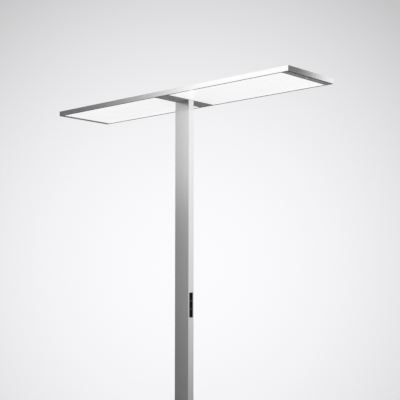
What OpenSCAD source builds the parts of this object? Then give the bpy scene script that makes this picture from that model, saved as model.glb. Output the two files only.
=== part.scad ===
// Office floor lamp: a long flat head with two light panels under it stands on one rectangular
// mast, and the mast on a steel plate. Lengths are in millimetres. The origin is the middle of
// the lamp on the floor, +Z is up, +X runs along the head to its sensor end, and -Y is the front.

/* [Lamp] */
// Height from the floor to the top of the head
total_h = 1950; // [1750:1:2150]
// Play between a piece and the pocket it slips into
fit_gap = 0.2; // [0.1:0.05:0.3]
// Play round the shank of a screw in its hole
screw_gap = 0.05; // [0.02:0.01:0.1]

/* [Base] */
// Length of the base plate along the head
base_w = 480; // [400:1:640]
// Depth of the base plate
base_d = 320; // [260:1:420]
// Thickness of the base plate
base_t = 10; // [9:0.5:16]
// Corner radius of the base plate
base_r = 14; // [4:0.5:30]
// Chamfer round the top edge of the base plate
base_chamfer = 1; // [0.4:0.1:3]
// Diameter of a floor glide
glide_d = 30; // [20:1:40]
// Height of the gap that the glides leave under the plate
glide_h = 3; // [2:0.5:8]
// Depth of a glide's seat in the plate
glide_seat = 2; // [1:0.5:4]
// Distance from the plate's edges to the middle of a glide
glide_inset = 34; // [30:1:60]
// Diameter of the screws that hold the mast on the plate
foot_screw_d = 8; // [6:0.5:10]
// Length of those screws above their seat
foot_screw_l = 30; // [22:1:40]
// Distance between those screws
foot_screw_pitch = 40; // [30:1:46]

/* [Mast] */
// Width of the mast, which is also the width of the cross strip above it
mast_w = 74; // [70:1:90]
// Depth of the mast
mast_d = 30; // [29:1:40]
// Wall of the mast
mast_t = 2.5; // [2:0.1:3]
// Radius of the mast's outer edges
mast_r = 1; // [0.5:0.1:2]
// Height of the block in the mast's foot
foot_block_h = 60; // [45:1:70]
// Height of the block in the mast's top
head_block_h = 45; // [35:1:60]
// Diameter of the screws through the mast's rear wall
wall_screw_d = 5; // [4:0.5:6]
// Distance between the two wall screws of a block
wall_screw_pitch = 36; // [30:1:44]
// Diameter of the two screws that hold the head
head_screw_d = 6; // [5:0.5:8]
// Distance between the two screws that hold the head
head_screw_pitch = 44; // [36:1:46]

/* [Mains inlet] */
// Height of the middle of the mains inlet above the floor
inlet_z = 112; // [108:1:140]
// Length of the inlet's flange
inlet_flange_w = 50; // [48:0.5:52]
// Height of the inlet's flange
inlet_flange_h = 23; // [22:0.5:28]
// Thickness of the inlet's flange
inlet_flange_t = 2; // [1.5:0.1:3]
// Distance between the two screws of the flange
inlet_pitch = 40; // [38:0.5:41]
// Depth of the inlet's body behind the flange
inlet_body_d = 17; // [16.5:0.5:18]
// Depth of the inlet's socket
inlet_socket_d = 15; // [12:0.5:15]
// Width of the inlet's socket
inlet_socket_w = 24.4; // [23:0.2:26]
// Height of the inlet's socket
inlet_socket_h = 16.6; // [15:0.2:18]
// Wall round the inlet's socket
inlet_wall = 1.4; // [1:0.1:2]

/* [Driver] */
// Length of the driver's case
driver_l = 330; // [250:1:420]
// Width of the driver's case
driver_w = 60; // [56:1:64]
// Depth of the driver's case
driver_d = 19; // [17:0.5:19.5]
// Sheet of the driver's case
driver_t = 0.8; // [0.6:0.1:1.2]
// Distance from the inlet up to the driver's input terminals
driver_rise = 40; // [30:1:80]
// Diameter of a single mains wire
mains_wire_d = 2.4; // [1.8:0.1:3]
// Diameter of the cable up the mast
mast_cable_d = 7; // [5:0.5:9]
// Diameter of the keypad's wire
control_wire_d = 3; // [2:0.1:4]

/* [Keypad] */
// Height of the middle of the keypad above the floor
keypad_z = 1112.5; // [950:0.5:1250]
// Height of the keypad
keypad_h = 98; // [88:0.5:120]
// Width of the keypad
keypad_w = 20; // [20:0.2:22]
// Height of the keypad's rim above the mast
keypad_rim = 0.8; // [0.5:0.1:1.5]
// Width of the rim that covers the edge of the cut in the mast
keypad_lap = 1; // [0.6:0.1:1.4]
// Web between two buttons, behind the front
keypad_rib = 3.2; // [2.8:0.1:5]
// Wall of the keypad round its buttons
keypad_wall = 1; // [0.8:0.1:1.2]
// How far the front laps over a button's collar
button_lap = 0.6; // [0.4:0.05:0.8]
// Play round a button in its window
button_gap = 0.2; // [0.15:0.05:0.3]
// How far a button stands proud of the keypad's front
button_proud = 1; // [0.9:0.1:1.6]
// Travel of a button
button_travel = 0.6; // [0.4:0.05:0.7]
// Diameter of a switch's plunger
plunger_d = 3.4; // [2.8:0.1:4]
// Play between a plunger and its bore
plunger_gap = 0.08; // [0.05:0.01:0.1]
// Width and height of a switch's body
switch_w = 6.2; // [5.6:0.1:8]

/* [Head] */
// Length of the head
head_l = 1250; // [1100:1:1500]
// Width of the head
head_w = 280; // [240:1:340]
// Thickness of the head
head_h = 20; // [19.5:0.5:28]
// Wall of the head's rails
rail_t = 2; // [1.8:0.1:3]
// Width of the lip under the head, from its outer face
lip_w = 7; // [5:0.1:12]
// Thickness of that lip
lip_t = 1.2; // [1:0.1:1.5]
// Width of the rails' shelf and top ledge, from the outer face
shelf_w = 9; // [8.6:0.1:12]
// Thickness of the shelf and the ledge
shelf_t = 1.2; // [1:0.1:1.5]
// Width of the left end strip, with its lip
left_strip_w = 23; // [19:0.5:30]
// Width of the right end strip, with its lip
right_strip_w = 35; // [32:0.5:50]
// Shadow gap between the left strip and its lip
left_gap = 0.6; // [0.4:0.1:0.8]
// Shadow gap between the right strip and its lip
right_gap = 0.6; // [0.4:0.1:3.5]
// Width of the seat that a panel's end has on a strip
seat_w = 5; // [4:0.1:5.5]
// Thickness of the top covers
cover_t = 1.5; // [1.4:0.1:2]
// Length of the middle top cover
mid_cover_w = 120; // [100:1:160]
// Length of a corner key's legs
key_leg = 28; // [24:1:36]
// Thickness of a corner key
key_t = 2; // [1.6:0.1:2.6]
// Diameter of the small screws in the head
small_screw_d = 3; // [2.5:0.1:3.2]

/* [Light] */
// Thickness of a white diffuser panel
diffuser_t = 2.5; // [2:0.1:3]
// Thickness of a light guide
guide_t = 4; // [3.5:0.1:4.2]
// Thickness of a reflector sheet
reflector_t = 0.8; // [0.5:0.1:1]
// Thickness of a back plate
back_t = 1.5; // [1:0.1:1.8]
// Thickness of the circuit boards
board_t = 1; // [0.8:0.1:1.2]
// Height of a light-emitting diode above its board
led_t = 0.7; // [0.5:0.05:0.8]
// Distance between the diodes along a guide's edge
edge_pitch = 20; // [14:1:40]
// Length of an upward light
uplight_l = 440; // [300:1:460]
// Width of an upward light
uplight_w = 110; // [80:1:130]
// Distance between the diodes of an upward light
uplight_pitch = 28; // [20:1:60]
// Thickness of the clear pane over an upward light
pane_t = 1.5; // [1:0.1:2]
// Diameter of the leads in the head
lead_d = 1.8; // [1.4:0.1:2.2]
// Diameter of the sensor's lens
lens_d = 11; // [8:0.5:13]

/* [Hidden] */
$fn = 48;

// A cut runs this far past the face it opens
past = 1;
// Clear air between pieces of one assembly that don't touch
air = 0.5;

// Heights of the base and the mast
plate_z = glide_h;
mast_z = plate_z + base_t;
head_z = total_h - head_h;
mast_h = head_z - mast_z;
foot_head_d = 1.625 * foot_screw_d;
foot_head_h = 0.6 * foot_screw_d;
foot_sink = foot_head_h + air;

// Inside of the mast
in_w = mast_w / 2 - mast_t;
in_d = mast_d / 2 - mast_t;
wall_sink = 1.2;
wall_head_d = 1.8 * wall_screw_d;
wall_head_h = wall_sink - 0.1;
wall_screw_l = mast_t - wall_sink + 10;
foot_wall_z = mast_z + foot_block_h - 12;
head_wall_z = head_z - 0.6 * head_block_h;

// Inlet: its outer body, its pins and the tabs behind them
inlet_out_w = inlet_socket_w + 2 * inlet_wall;
inlet_out_h = inlet_socket_h + 2 * inlet_wall;
inlet_cut = 4.5;
inlet_screw_d = 3;
inlet_screw_l = inlet_flange_t + mast_t + 1.5;
inlet_face_y = mast_d / 2 + inlet_flange_t;
pin_t = 2;
pin_h = 4;
pin_spread = 7;
earth_rise = 4;
pin_recess = 2.5;
tab_l = 6;
tab_y = mast_d / 2 - inlet_body_d - tab_l;
pin_places = [[-pin_spread, 0], [0, earth_rise], [pin_spread, 0]];

// Driver: its case lies on the mast's rear wall
driver_y1 = in_d;
driver_y0 = driver_y1 - driver_d;
terminal_h = 10;
terminal_in_x = 15;
driver_tab = 14;
driver_in_z = inlet_z + driver_rise;
driver_z0 = driver_in_z + driver_tab;
driver_z1 = driver_z0 + driver_l;
driver_screw_d = 4;
driver_tab_t = 1.5;
driver_board_y = driver_y1 - driver_t - 3;

// Keypad, from the mast's right face inwards
face_x = mast_w / 2;
keypad_front = face_x + keypad_rim;
keypad_web = 1.6;
collar_t = 1.2;
collar_gap = 0.1;
plug_w = keypad_w - 2 * keypad_lap - 2 * fit_gap;
plug_h = keypad_h - 2 * keypad_lap - 2 * fit_gap;
pocket_w = plug_w - 2 * keypad_wall;
pocket_h = (plug_h - 2 * keypad_wall - 2 * keypad_rib) / 3;
window_w = pocket_w - 2 * button_lap;
window_h = pocket_h - 2 * button_lap;
button_pitch = pocket_h + keypad_rib;
web_x = keypad_front - keypad_web;
collar_x1 = web_x - collar_gap;
collar_x0 = collar_x1 - collar_t;
button_x1 = keypad_front + button_proud;
switch_body_h = 3.6;
plunger_show = 1.6;
plunger_sunk = 1;
switch_x1 = collar_x0 - plunger_show;
switch_x0 = switch_x1 - switch_body_h;
bore_x = switch_x1 - plunger_sunk - button_travel - collar_gap;
key_board_t = 1.6;
key_board_x = switch_x0 - key_board_t;
snap_out = 0.35;
snap_t = 1.5;
keypad_screw_d = 2;
keypad_screw_l = key_board_t + 5;
plug_x0 = switch_x0;
connector_t = 4;
connector_w = 10;
connector_h = 8;
control_x = key_board_x - connector_t / 2;
control_z1 = keypad_z - plug_h / 2 + 2;
BUTTON_UP = 1;
BUTTON_POWER = 0;
BUTTON_DOWN = -1;

// Heights of the head's layers
lip_z = head_z + lip_t;
guide_z = lip_z + diffuser_t;
reflector_z = guide_z + guide_t;
shelf_z = reflector_z + reflector_t + fit_gap;
back_z = shelf_z + shelf_t;
led_z = back_z + back_t;
cover_z = total_h - cover_t;
ledge_z = cover_z - shelf_t;

// Half sizes of the head
half_l = head_l / 2;
half_w = head_w / 2;
in_l = half_l - rail_t;
in_h = half_w - rail_t;
lip_y = half_w - lip_w;
screw_y = half_w - (rail_t + shelf_w) / 2;

// Strips and bridge: inner edges of the strips, then the seats of the panels
left_x = half_l - left_strip_w;
right_x = half_l - right_strip_w;
bridge_x = mast_w / 2;
post_l = 11;
core_t = 2.5;
bridge_core_x = bridge_x - seat_w - fit_gap;
bridge_screw_x = bridge_core_x / 1.6;
cable_bore_d = mast_cable_d + 3;
head_sink = min(head_screw_d - 1, shelf_z - head_z - 3);
head_cap_d = 1.6 * head_screw_d;
head_cap_h = head_sink - air;
head_screw_l = 22;
left_screw_x = (left_x + seat_w + in_l) / 2;
right_tongue_x = half_l - lip_w - right_gap;
right_screw_x = (right_x + seat_w + right_tongue_x) / 2;
sensor_x = (right_x + right_tongue_x) / 2;
small_head_d = 1.7 * small_screw_d;
small_head_h = 0.5 * small_screw_d;
shelf_screw_l = 6;
key_bite = 1.4;
key_screw_at = key_leg - 8;
key_z0 = back_z + small_head_h + air;
key_z1 = ledge_z - fit_gap;

// Light: the guides stop short of the bridge, where the strips' connectors are
edge_gap = 0.4;
plug_l = 5;
plug_d = 4.4;
lead_x = bridge_x - seat_w + fit_gap + air + plug_l / 2;
guide_x = lead_x + plug_l / 2 + 1;
edge_y1 = in_h;
edge_y0 = in_h - board_t;
guide_y = edge_y0 - led_t - edge_gap;
lead_y = edge_y0 - plug_d / 2;
back_x = bridge_core_x + air;
uplight_margin = 6;
uplight_led = 3;
pane_rise = cover_t - 0.5;
left_light_x = (bridge_x + left_x) / 2;
right_light_x = (bridge_x + right_x) / 2;
cover_head_sink = cover_t - 0.5;
cover_screw_l = cover_t + shelf_t - cover_head_sink + 1;

// Terminal block and leads
term_x = 18;
term_y = 12;
term_h = 7.5;
lead_z = led_z + lead_d / 2;
bend_r = 2.5;
lead_row = 8;
board_plug_h = 3;
sensor_row = uplight_w / 2 + 12;
sensor_board_l = 30;
sensor_board_w = 10;
sensor_plug = 4;
sensor_lead_x = sensor_x;
lens_dome = 1;
lens_flange_t = 1;
sensor_plug_z = lip_z + core_t + lens_flange_t + fit_gap + board_t + 2;

SILVER = [0.74, 0.745, 0.75];
SATIN = [0.7, 0.705, 0.71];
STEEL = [0.62, 0.63, 0.65];
BLACK = [0.05, 0.05, 0.055];
OPAL = [0.96, 0.97, 0.98];
CLEAR = [0.85, 0.92, 0.95, 0.6];
WHITE = [0.93, 0.93, 0.92];
BRASS = [0.8, 0.66, 0.36];
RUBBER = [0.12, 0.12, 0.13];
LED = [0.98, 0.86, 0.4];
GREEN = [0.1, 0.36, 0.22];

// ---------- shapes that several pieces use ----------

// A box between two corners, given as ranges along x, y and z
module block(x, y, z) {
    translate([x[0], y[0], z[0]]) cube([x[1] - x[0], y[1] - y[0], z[1] - z[0]]);
}

// A rectangle with round corners, about its middle
module rounded_rect(w, d, r) {
    square([w - 2 * r, d], center = true);
    square([w, d - 2 * r], center = true);
    for (sx = [-1, 1], sy = [-1, 1])
        translate([sx * (w / 2 - r), sy * (d / 2 - r)]) circle(r);
}

// Carries a shape drawn for the right half to the left one where side is -1
module on_side(side) {
    mirror([side < 0 ? 1 : 0, 0, 0]) children();
}

// A shape drawn at the rear, and its mirror image at the front
module front_and_rear() {
    children();
    mirror([0, 1, 0]) children();
}

// A screw: its head stands on z = 0, its shank hangs below and a hexagon is sunk in the head
module screw(d, l, head_d, head_h) {
    difference() {
        union() {
            cylinder(d = head_d, h = head_h);
            translate([0, 0, -l]) cylinder(d = d, h = l);
        }
        translate([0, 0, head_h / 2]) cylinder(d = 0.6 * d, h = head_h, $fn = 6);
    }
}

// The hole for that screw, with a sink for its head if there is one
module screw_hole(d, l, sink_d = 0, sink = 0) {
    translate([0, 0, -l]) cylinder(d = d + 2 * screw_gap, h = l + past);
    if (sink > 0) cylinder(d = sink_d, h = sink + past);
}

// Turns a shape so that its z axis points along the unit vector u
module aim(u) {
    side = abs(u[2]) > 0.5 ? [1, 0, 0] : [0, 0, 1];
    b = cross(u, side);
    a = cross(b, u);
    multmatrix([[a[0], b[0], u[0], 0], [a[1], b[1], u[1], 0], [a[2], b[2], u[2], 0], [0, 0, 0, 1]])
        children();
}

// A quarter turn of a wire at corner p, from direction u to direction v
module elbow(p, u, v, d, r) {
    c = p - r * u + r * v;
    n = cross(u, v);
    multmatrix([
        [-v[0], u[0], n[0], c[0]], [-v[1], u[1], n[1], c[1]], [-v[2], u[2], n[2], c[2]], [0, 0, 0, 1]
    ])
        rotate_extrude(angle = 90) translate([r, 0]) circle(d = d, $fn = 24);
}

// A wire along square-cornered points, with each corner turned at radius r
module wire(points, d, r) {
    last = len(points) - 1;
    dirs = [for (i = [0:last - 1]) (points[i + 1] - points[i]) / norm(points[i + 1] - points[i])];
    for (i = [0:last - 1]) {
        a = points[i] + (i > 0 ? r : 0) * dirs[i];
        b = points[i + 1] - (i < last - 1 ? r : 0) * dirs[i];
        translate(a) aim(dirs[i]) cylinder(d = d, h = norm(b - a), $fn = 24);
    }
    if (last > 1)
        for (i = [1:last - 1]) elbow(points[i], dirs[i - 1], dirs[i], d, r);
}

// ---------- base ----------

// A plate with round corners and a chamfer round its top edge
module chamfered_plate(w, d, h, r, c) {
    translate([0, d / 2 - r, 0]) rotate([90, 0, 0]) linear_extrude(d - 2 * r) polygon([
        [-w / 2, 0], [w / 2, 0], [w / 2, h - c], [w / 2 - c, h], [c - w / 2, h], [-w / 2, h - c]
    ]);
    translate([r - w / 2, 0, 0]) rotate([90, 0, 90]) linear_extrude(w - 2 * r) polygon([
        [-d / 2, 0], [d / 2, 0], [d / 2, h - c], [d / 2 - c, h], [c - d / 2, h], [-d / 2, h - c]
    ]);
    for (sx = [-1, 1], sy = [-1, 1])
        translate([sx * (w / 2 - r), sy * (d / 2 - r), 0])
            rotate_extrude() polygon([[0, 0], [r, 0], [r, h - c], [r - c, h], [0, h]]);
}

module at_glides() {
    for (sx = [-1, 1], sy = [-1, 1])
        translate([sx * (base_w / 2 - glide_inset), sy * (base_d / 2 - glide_inset), 0]) children();
}

module at_foot_screws() {
    for (sx = [-1, 1])
        translate([sx * foot_screw_pitch / 2, 0, plate_z + foot_sink]) mirror([0, 0, 1]) children();
}

module base_plate() {
    color(SILVER) difference() {
        translate([0, 0, plate_z]) chamfered_plate(base_w, base_d, base_t, base_r, base_chamfer);
        at_glides() translate([0, 0, plate_z - past])
            cylinder(d = glide_d + 2 * fit_gap, h = glide_seat + past);
        at_foot_screws() screw_hole(foot_screw_d, base_t, foot_head_d + 2 * fit_gap, foot_sink);
    }
}

module base_glides() {
    chamfer = 0.8;
    color(RUBBER) at_glides() {
        cylinder(d1 = glide_d - 2 * chamfer, d2 = glide_d, h = chamfer);
        translate([0, 0, chamfer]) cylinder(d = glide_d, h = glide_h + glide_seat - chamfer);
    }
}

module foot_screws() {
    color(STEEL) at_foot_screws() screw(foot_screw_d, foot_screw_l, foot_head_d, foot_head_h);
}

// Places of the wall screws, on the outside of the mast's rear wall, at height z
module at_wall_screws(z) {
    for (sx = [-1, 1])
        translate([sx * wall_screw_pitch / 2, mast_d / 2 - wall_sink, z]) aim([0, 1, 0]) children();
}

module wall_screw_holes() {
    for (z = [foot_wall_z, head_wall_z])
        at_wall_screws(z) screw_hole(wall_screw_d, wall_screw_l, wall_head_d + 2 * fit_gap, wall_sink);
}

module foot_block() {
    color(SATIN) difference() {
        block([fit_gap - in_w, in_w - fit_gap], [fit_gap - in_d, in_d - fit_gap],
              [mast_z, mast_z + foot_block_h]);
        at_foot_screws() screw_hole(foot_screw_d, foot_screw_l + past);
        wall_screw_holes();
    }
}

// ---------- mast ----------

module at_head_screws() {
    for (sx = [-1, 1])
        translate([sx * head_screw_pitch / 2, 0, shelf_z - head_sink]) children();
}

module at_driver_screws() {
    for (z = [driver_z0 - driver_tab / 2, driver_z1 + driver_tab / 2])
        for (sx = [-1, 1])
            translate([sx * (driver_w / 2 - 6), mast_d / 2 - wall_sink, z]) aim([0, 1, 0]) children();
}

module driver_screw_holes() {
    at_driver_screws() screw_hole(
        driver_screw_d, mast_t + driver_tab_t + past, 1.8 * driver_screw_d + 2 * fit_gap, wall_sink
    );
}

module mast_profile() {
    color(SILVER) difference() {
        translate([0, 0, mast_z]) linear_extrude(mast_h) difference() {
            rounded_rect(mast_w, mast_d, mast_r);
            rounded_rect(2 * in_w, 2 * in_d, mast_r / 2);
        }
        block([in_w - past, face_x + past], [-plug_w / 2 - fit_gap, plug_w / 2 + fit_gap],
              [keypad_z - plug_h / 2 - fit_gap, keypad_z + plug_h / 2 + fit_gap]);
        translate([0, mast_d / 2 + past, inlet_z]) rotate([90, 0, 0])
            linear_extrude(mast_t + 2 * past)
                square([inlet_out_w + 2 * fit_gap, inlet_out_h + 2 * fit_gap], center = true);
        at_inlet_screws() screw_hole(inlet_screw_d, inlet_screw_l);
        wall_screw_holes();
        driver_screw_holes();
    }
}

module mast_head_block() {
    color(SATIN) difference() {
        block([fit_gap - in_w, in_w - fit_gap], [fit_gap - in_d, in_d - fit_gap],
              [head_z - head_block_h, head_z]);
        at_head_screws() screw_hole(head_screw_d, head_screw_l + past);
        wall_screw_holes();
        translate([0, 0, head_z - head_block_h - past])
            cylinder(d = cable_bore_d, h = head_block_h + 2 * past);
    }
}

module wall_screws() {
    color(STEEL) for (z = [foot_wall_z, head_wall_z])
        at_wall_screws(z) screw(wall_screw_d, wall_screw_l - past, wall_head_d, wall_head_h);
}

module head_screws() {
    color(STEEL) at_head_screws() screw(head_screw_d, head_screw_l, head_cap_d, head_cap_h);
}

// ---------- mains inlet ----------

module at_inlet_screws() {
    for (sx = [-1, 1])
        translate([sx * inlet_pitch / 2, inlet_face_y, inlet_z]) aim([0, 1, 0]) children();
}

// Outline of the socket: a rectangle with its two upper corners cut off
module inlet_outline(w, h, cut) {
    polygon([
        [-w / 2, -h / 2], [w / 2, -h / 2], [w / 2, h / 2 - cut], [w / 2 - cut, h / 2],
        [cut - w / 2, h / 2], [-w / 2, h / 2 - cut]
    ]);
}

// A shape in the inlet's plane, pulled from depth y1 to depth y0
module inlet_pull(y0, y1) {
    translate([0, y1, inlet_z]) rotate([90, 0, 0]) linear_extrude(y1 - y0) children();
}

module pins() {
    tip = 0.8;
    for (p = pin_places)
        translate([p[0] - pin_t / 2, 0, inlet_z + p[1]])
            rotate([90, 0, 90]) linear_extrude(pin_t) polygon([
                [tab_y, -pin_h / 2], [inlet_face_y - pin_recess - tip, -pin_h / 2],
                [inlet_face_y - pin_recess, tip - pin_h / 2],
                [inlet_face_y - pin_recess, pin_h / 2 - tip],
                [inlet_face_y - pin_recess - tip, pin_h / 2], [tab_y, pin_h / 2]
            ]);
}

module inlet_body() {
    color(BLACK) difference() {
        union() {
            inlet_pull(mast_d / 2, inlet_face_y) rounded_rect(inlet_flange_w, inlet_flange_h, 3);
            inlet_pull(mast_d / 2 - inlet_body_d, mast_d / 2)
                inlet_outline(inlet_out_w, inlet_out_h, inlet_cut);
        }
        inlet_pull(inlet_face_y - inlet_socket_d, inlet_face_y + past)
            inlet_outline(inlet_socket_w, inlet_socket_h, inlet_cut - inlet_wall / 2);
        at_inlet_screws() screw_hole(inlet_screw_d, inlet_screw_l);
        pins();
    }
}

module inlet_pins() {
    color(BRASS) pins();
}

module inlet_screws() {
    color(STEEL) at_inlet_screws() screw(inlet_screw_d, inlet_screw_l, 1.8 * inlet_screw_d, 1.5);
}

// ---------- driver ----------

module driver_case() {
    color(STEEL) difference() {
        union() {
            block([-driver_w / 2, driver_w / 2], [driver_y0, driver_y1], [driver_z0, driver_z1]);
            block([-driver_w / 2, driver_w / 2], [driver_y1 - driver_tab_t, driver_y1],
                  [driver_z0 - driver_tab, driver_z1 + driver_tab]);
        }
        block([driver_t - driver_w / 2, driver_w / 2 - driver_t],
              [driver_y0 - past, driver_y1 - driver_t],
              [driver_z0 + driver_t, driver_z1 - driver_t]);
        driver_screw_holes();
    }
}

module driver_lid() {
    color(STEEL) block([-driver_w / 2, driver_w / 2], [driver_y0 - driver_t, driver_y0],
                       [driver_z0, driver_z1]);
}

// The driver's board stands on four short posts and carries its coils and capacitors
module driver_board() {
    x1 = driver_w / 2 - driver_t - air;
    z0 = driver_z0 + driver_t + air;
    z1 = driver_z1 - driver_t - air;
    top = driver_board_y - 1.6;
    parts = [[0.12, 16, 18, 9], [0.3, 30, 26, 10], [0.52, 24, 34, 9], [0.72, 14, 20, 8], [0.88, 18, 16, 6]];
    color(GREEN) {
        block([-x1, x1], [top, driver_board_y], [z0, z1]);
        for (sx = [-1, 1], z = [z0 + 8, z1 - 8])
            translate([sx * (x1 - 5), driver_board_y - past, z]) aim([0, 1, 0])
                cylinder(d = 4, h = driver_y1 - driver_t - driver_board_y + past);
        for (p = parts)
            block([-p[1] / 2, p[1] / 2], [top - p[3], top + air / 2],
                  [z0 + p[0] * (z1 - z0) - p[2] / 2, z0 + p[0] * (z1 - z0) + p[2] / 2]);
    }
}

// A terminal block at each end of the case, on the case's tabs: mains below, outputs above
module driver_terminals() {
    y = [driver_y0, driver_y1 - driver_tab_t];
    color(WHITE) {
        block([-terminal_in_x, terminal_in_x], y, [driver_z0 - terminal_h, driver_z0]);
        block([1 - driver_w / 2, driver_w / 2 - 1], y, [driver_z1, driver_z1 + terminal_h]);
    }
}

module driver_screws() {
    color(STEEL) at_driver_screws()
        screw(driver_screw_d, mast_t + driver_tab_t - wall_sink, 1.8 * driver_screw_d, wall_head_h);
}

module mains_wires() {
    y = (tab_y + mast_d / 2 - inlet_body_d) / 2;
    color(RUBBER) for (p = pin_places)
        wire([[p[0], y, inlet_z + p[1] + pin_h / 2], [p[0], y, driver_z0 - terminal_h]], mains_wire_d, 1);
}

module mast_cable() {
    color(RUBBER) wire([[0, 0, driver_z1 + terminal_h], [0, 0, shelf_z]], mast_cable_d, 1);
}

module control_wire() {
    color(RUBBER) wire([[control_x, 0, driver_z1 + terminal_h], [control_x, 0, control_z1]],
                       control_wire_d, 1);
}

// ---------- keypad ----------

// A button's height above the keypad's middle: up, power or down
function button_z(place) = keypad_z + place * button_pitch;

module keypad_bezel() {
    color(BLACK) difference() {
        union() {
            translate([face_x, 0, keypad_z]) rotate([90, 0, 90]) linear_extrude(keypad_rim)
                rounded_rect(keypad_w, keypad_h, 2);
            block([plug_x0, face_x], [-plug_w / 2, plug_w / 2],
                  [keypad_z - plug_h / 2, keypad_z + plug_h / 2]);
            for (sz = [-1, 1])
                block([in_w - fit_gap - snap_t, in_w - fit_gap],
                      [-plug_w / 2 - fit_gap - snap_out, plug_w / 2 + fit_gap + snap_out],
                      [keypad_z + sz * button_pitch - 5, keypad_z + sz * button_pitch + 5]);
        }
        for (place = [BUTTON_DOWN, BUTTON_POWER, BUTTON_UP]) {
            block([plug_x0 - past, web_x], [-pocket_w / 2, pocket_w / 2],
                  [button_z(place) - pocket_h / 2, button_z(place) + pocket_h / 2]);
            block([web_x - past, keypad_front + past], [-window_w / 2, window_w / 2],
                  [button_z(place) - window_h / 2, button_z(place) + window_h / 2]);
        }
        at_keypad_screws() screw_hole(keypad_screw_d, keypad_screw_l);
    }
}

module at_keypad_screws() {
    for (sz = [-1, 1])
        translate([key_board_x, 0, keypad_z + sz * button_pitch / 2]) aim([-1, 0, 0]) children();
}

module keypad_board() {
    color(GREEN) difference() {
        union() {
            block([key_board_x, switch_x0], [-plug_w / 2, plug_w / 2],
                  [keypad_z - plug_h / 2, keypad_z + plug_h / 2]);
            block([key_board_x - connector_t, key_board_x], [-connector_w / 2, connector_w / 2],
                  [control_z1, control_z1 + connector_h]);
        }
        at_keypad_screws() screw_hole(keypad_screw_d, keypad_screw_l);
    }
}

module keypad_screws() {
    color(STEEL) at_keypad_screws() screw(keypad_screw_d, keypad_screw_l - past, 3.8, 1.2);
}

module key_switches() {
    color(BLACK) for (place = [BUTTON_DOWN, BUTTON_POWER, BUTTON_UP])
        difference() {
            block([switch_x0, switch_x1], [-switch_w / 2, switch_w / 2],
                  [button_z(place) - switch_w / 2, button_z(place) + switch_w / 2]);
            translate([bore_x, 0, button_z(place)]) aim([1, 0, 0])
                cylinder(d = plunger_d + 2 * plunger_gap, h = switch_body_h);
        }
}

// A button: its cap in the window, a collar behind the front and a stem on the plunger
module button(place) {
    cap_w = window_w - 2 * button_gap;
    cap_h = window_h - 2 * button_gap;
    collar = button_lap - 0.1;
    color(BLACK) translate([0, 0, button_z(place)]) {
        translate([collar_x1, 0, 0]) rotate([90, 0, 90])
            linear_extrude(button_x1 - collar_x1) rounded_rect(cap_w, cap_h, 0.8);
        block([collar_x0, collar_x1], [-cap_w / 2 - collar, cap_w / 2 + collar],
              [-cap_h / 2 - collar, cap_h / 2 + collar]);
    }
}

module button_up() {
    button(BUTTON_UP);
}

module button_power() {
    button(BUTTON_POWER);
}

module button_down() {
    button(BUTTON_DOWN);
}

module plunger(place) {
    color(WHITE) translate([switch_x1 - plunger_sunk, 0, button_z(place)]) aim([1, 0, 0])
        cylinder(d = plunger_d, h = plunger_sunk + plunger_show);
}

module plunger_up() {
    plunger(BUTTON_UP);
}

module plunger_power() {
    plunger(BUTTON_POWER);
}

module plunger_down() {
    plunger(BUTTON_DOWN);
}

// ---------- head: frame ----------

// Section of a rail: wall, lower lip, shelf and top ledge, with the outer face at x = 0
module rail_section() {
    square([rail_t, head_h]);
    square([lip_w, lip_t]);
    translate([0, shelf_z - head_z]) square([shelf_w, shelf_t]);
    translate([0, ledge_z - head_z]) square([shelf_w, shelf_t]);
}

// A rail along x with its outer face at y = -offset and mitred ends
module frame_rail(length, offset) {
    deep = max(lip_w, shelf_w) + past;
    difference() {
        intersection() {
            translate([-length / 2, -offset, head_z]) rotate([90, 0, 90])
                linear_extrude(length) rail_section();
            translate([0, 0, head_z - past]) linear_extrude(head_h + 2 * past) polygon([
                [-length / 2 - past, -offset - past], [length / 2 + past, -offset - past],
                [length / 2 - deep, deep - offset], [deep - length / 2, deep - offset]
            ]);
        }
        children();
    }
}

module at_shelf_screws() {
    for (x = [-left_screw_x, -bridge_screw_x, bridge_screw_x, right_screw_x], sy = [-1, 1])
        translate([x, sy * screw_y, back_z]) children();
}

module at_cover_screws() {
    side_xs = [0.15, 0.5, 0.85] * (in_l - mid_cover_w / 2);
    xs = [for (s = [-1, 1], x = side_xs) s * (mid_cover_w / 2 + x)];
    for (x = concat(xs, [-mid_cover_w / 2 + 12, mid_cover_w / 2 - 12]), sy = [-1, 1])
        translate([x, sy * screw_y, total_h - cover_head_sink]) children();
}

module at_key_screws() {
    z = (key_z0 + key_z1) / 2;
    for (sx = [-1, 1], sy = [-1, 1]) {
        translate([sx * (in_l - key_screw_at), sy * (in_h - key_t), z]) aim([0, -sy, 0]) children();
        translate([sx * (in_l - key_t), sy * (in_h - key_screw_at), z]) aim([-sx, 0, 0]) children();
    }
}

module rail_holes() {
    at_shelf_screws() screw_hole(small_screw_d, shelf_t + past);
    at_cover_screws() screw_hole(small_screw_d, cover_screw_l + past);
    at_key_screws() screw_hole(small_screw_d, key_t + key_bite);
    on_side(-1) at_back_screws(left_x) screw_hole(small_screw_d, back_t + shelf_t + past);
    at_back_screws(right_x) screw_hole(small_screw_d, back_t + shelf_t + past);
    lead_holes();
}

// Holes in the shelf for the leads to the edge strips
module lead_holes() {
    for (side = [-1, 1]) on_side(side) front_and_rear()
        translate([lead_x, lead_y, shelf_z - past]) cylinder(d = lead_d + 1, h = shelf_t + 2 * past);
}

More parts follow.
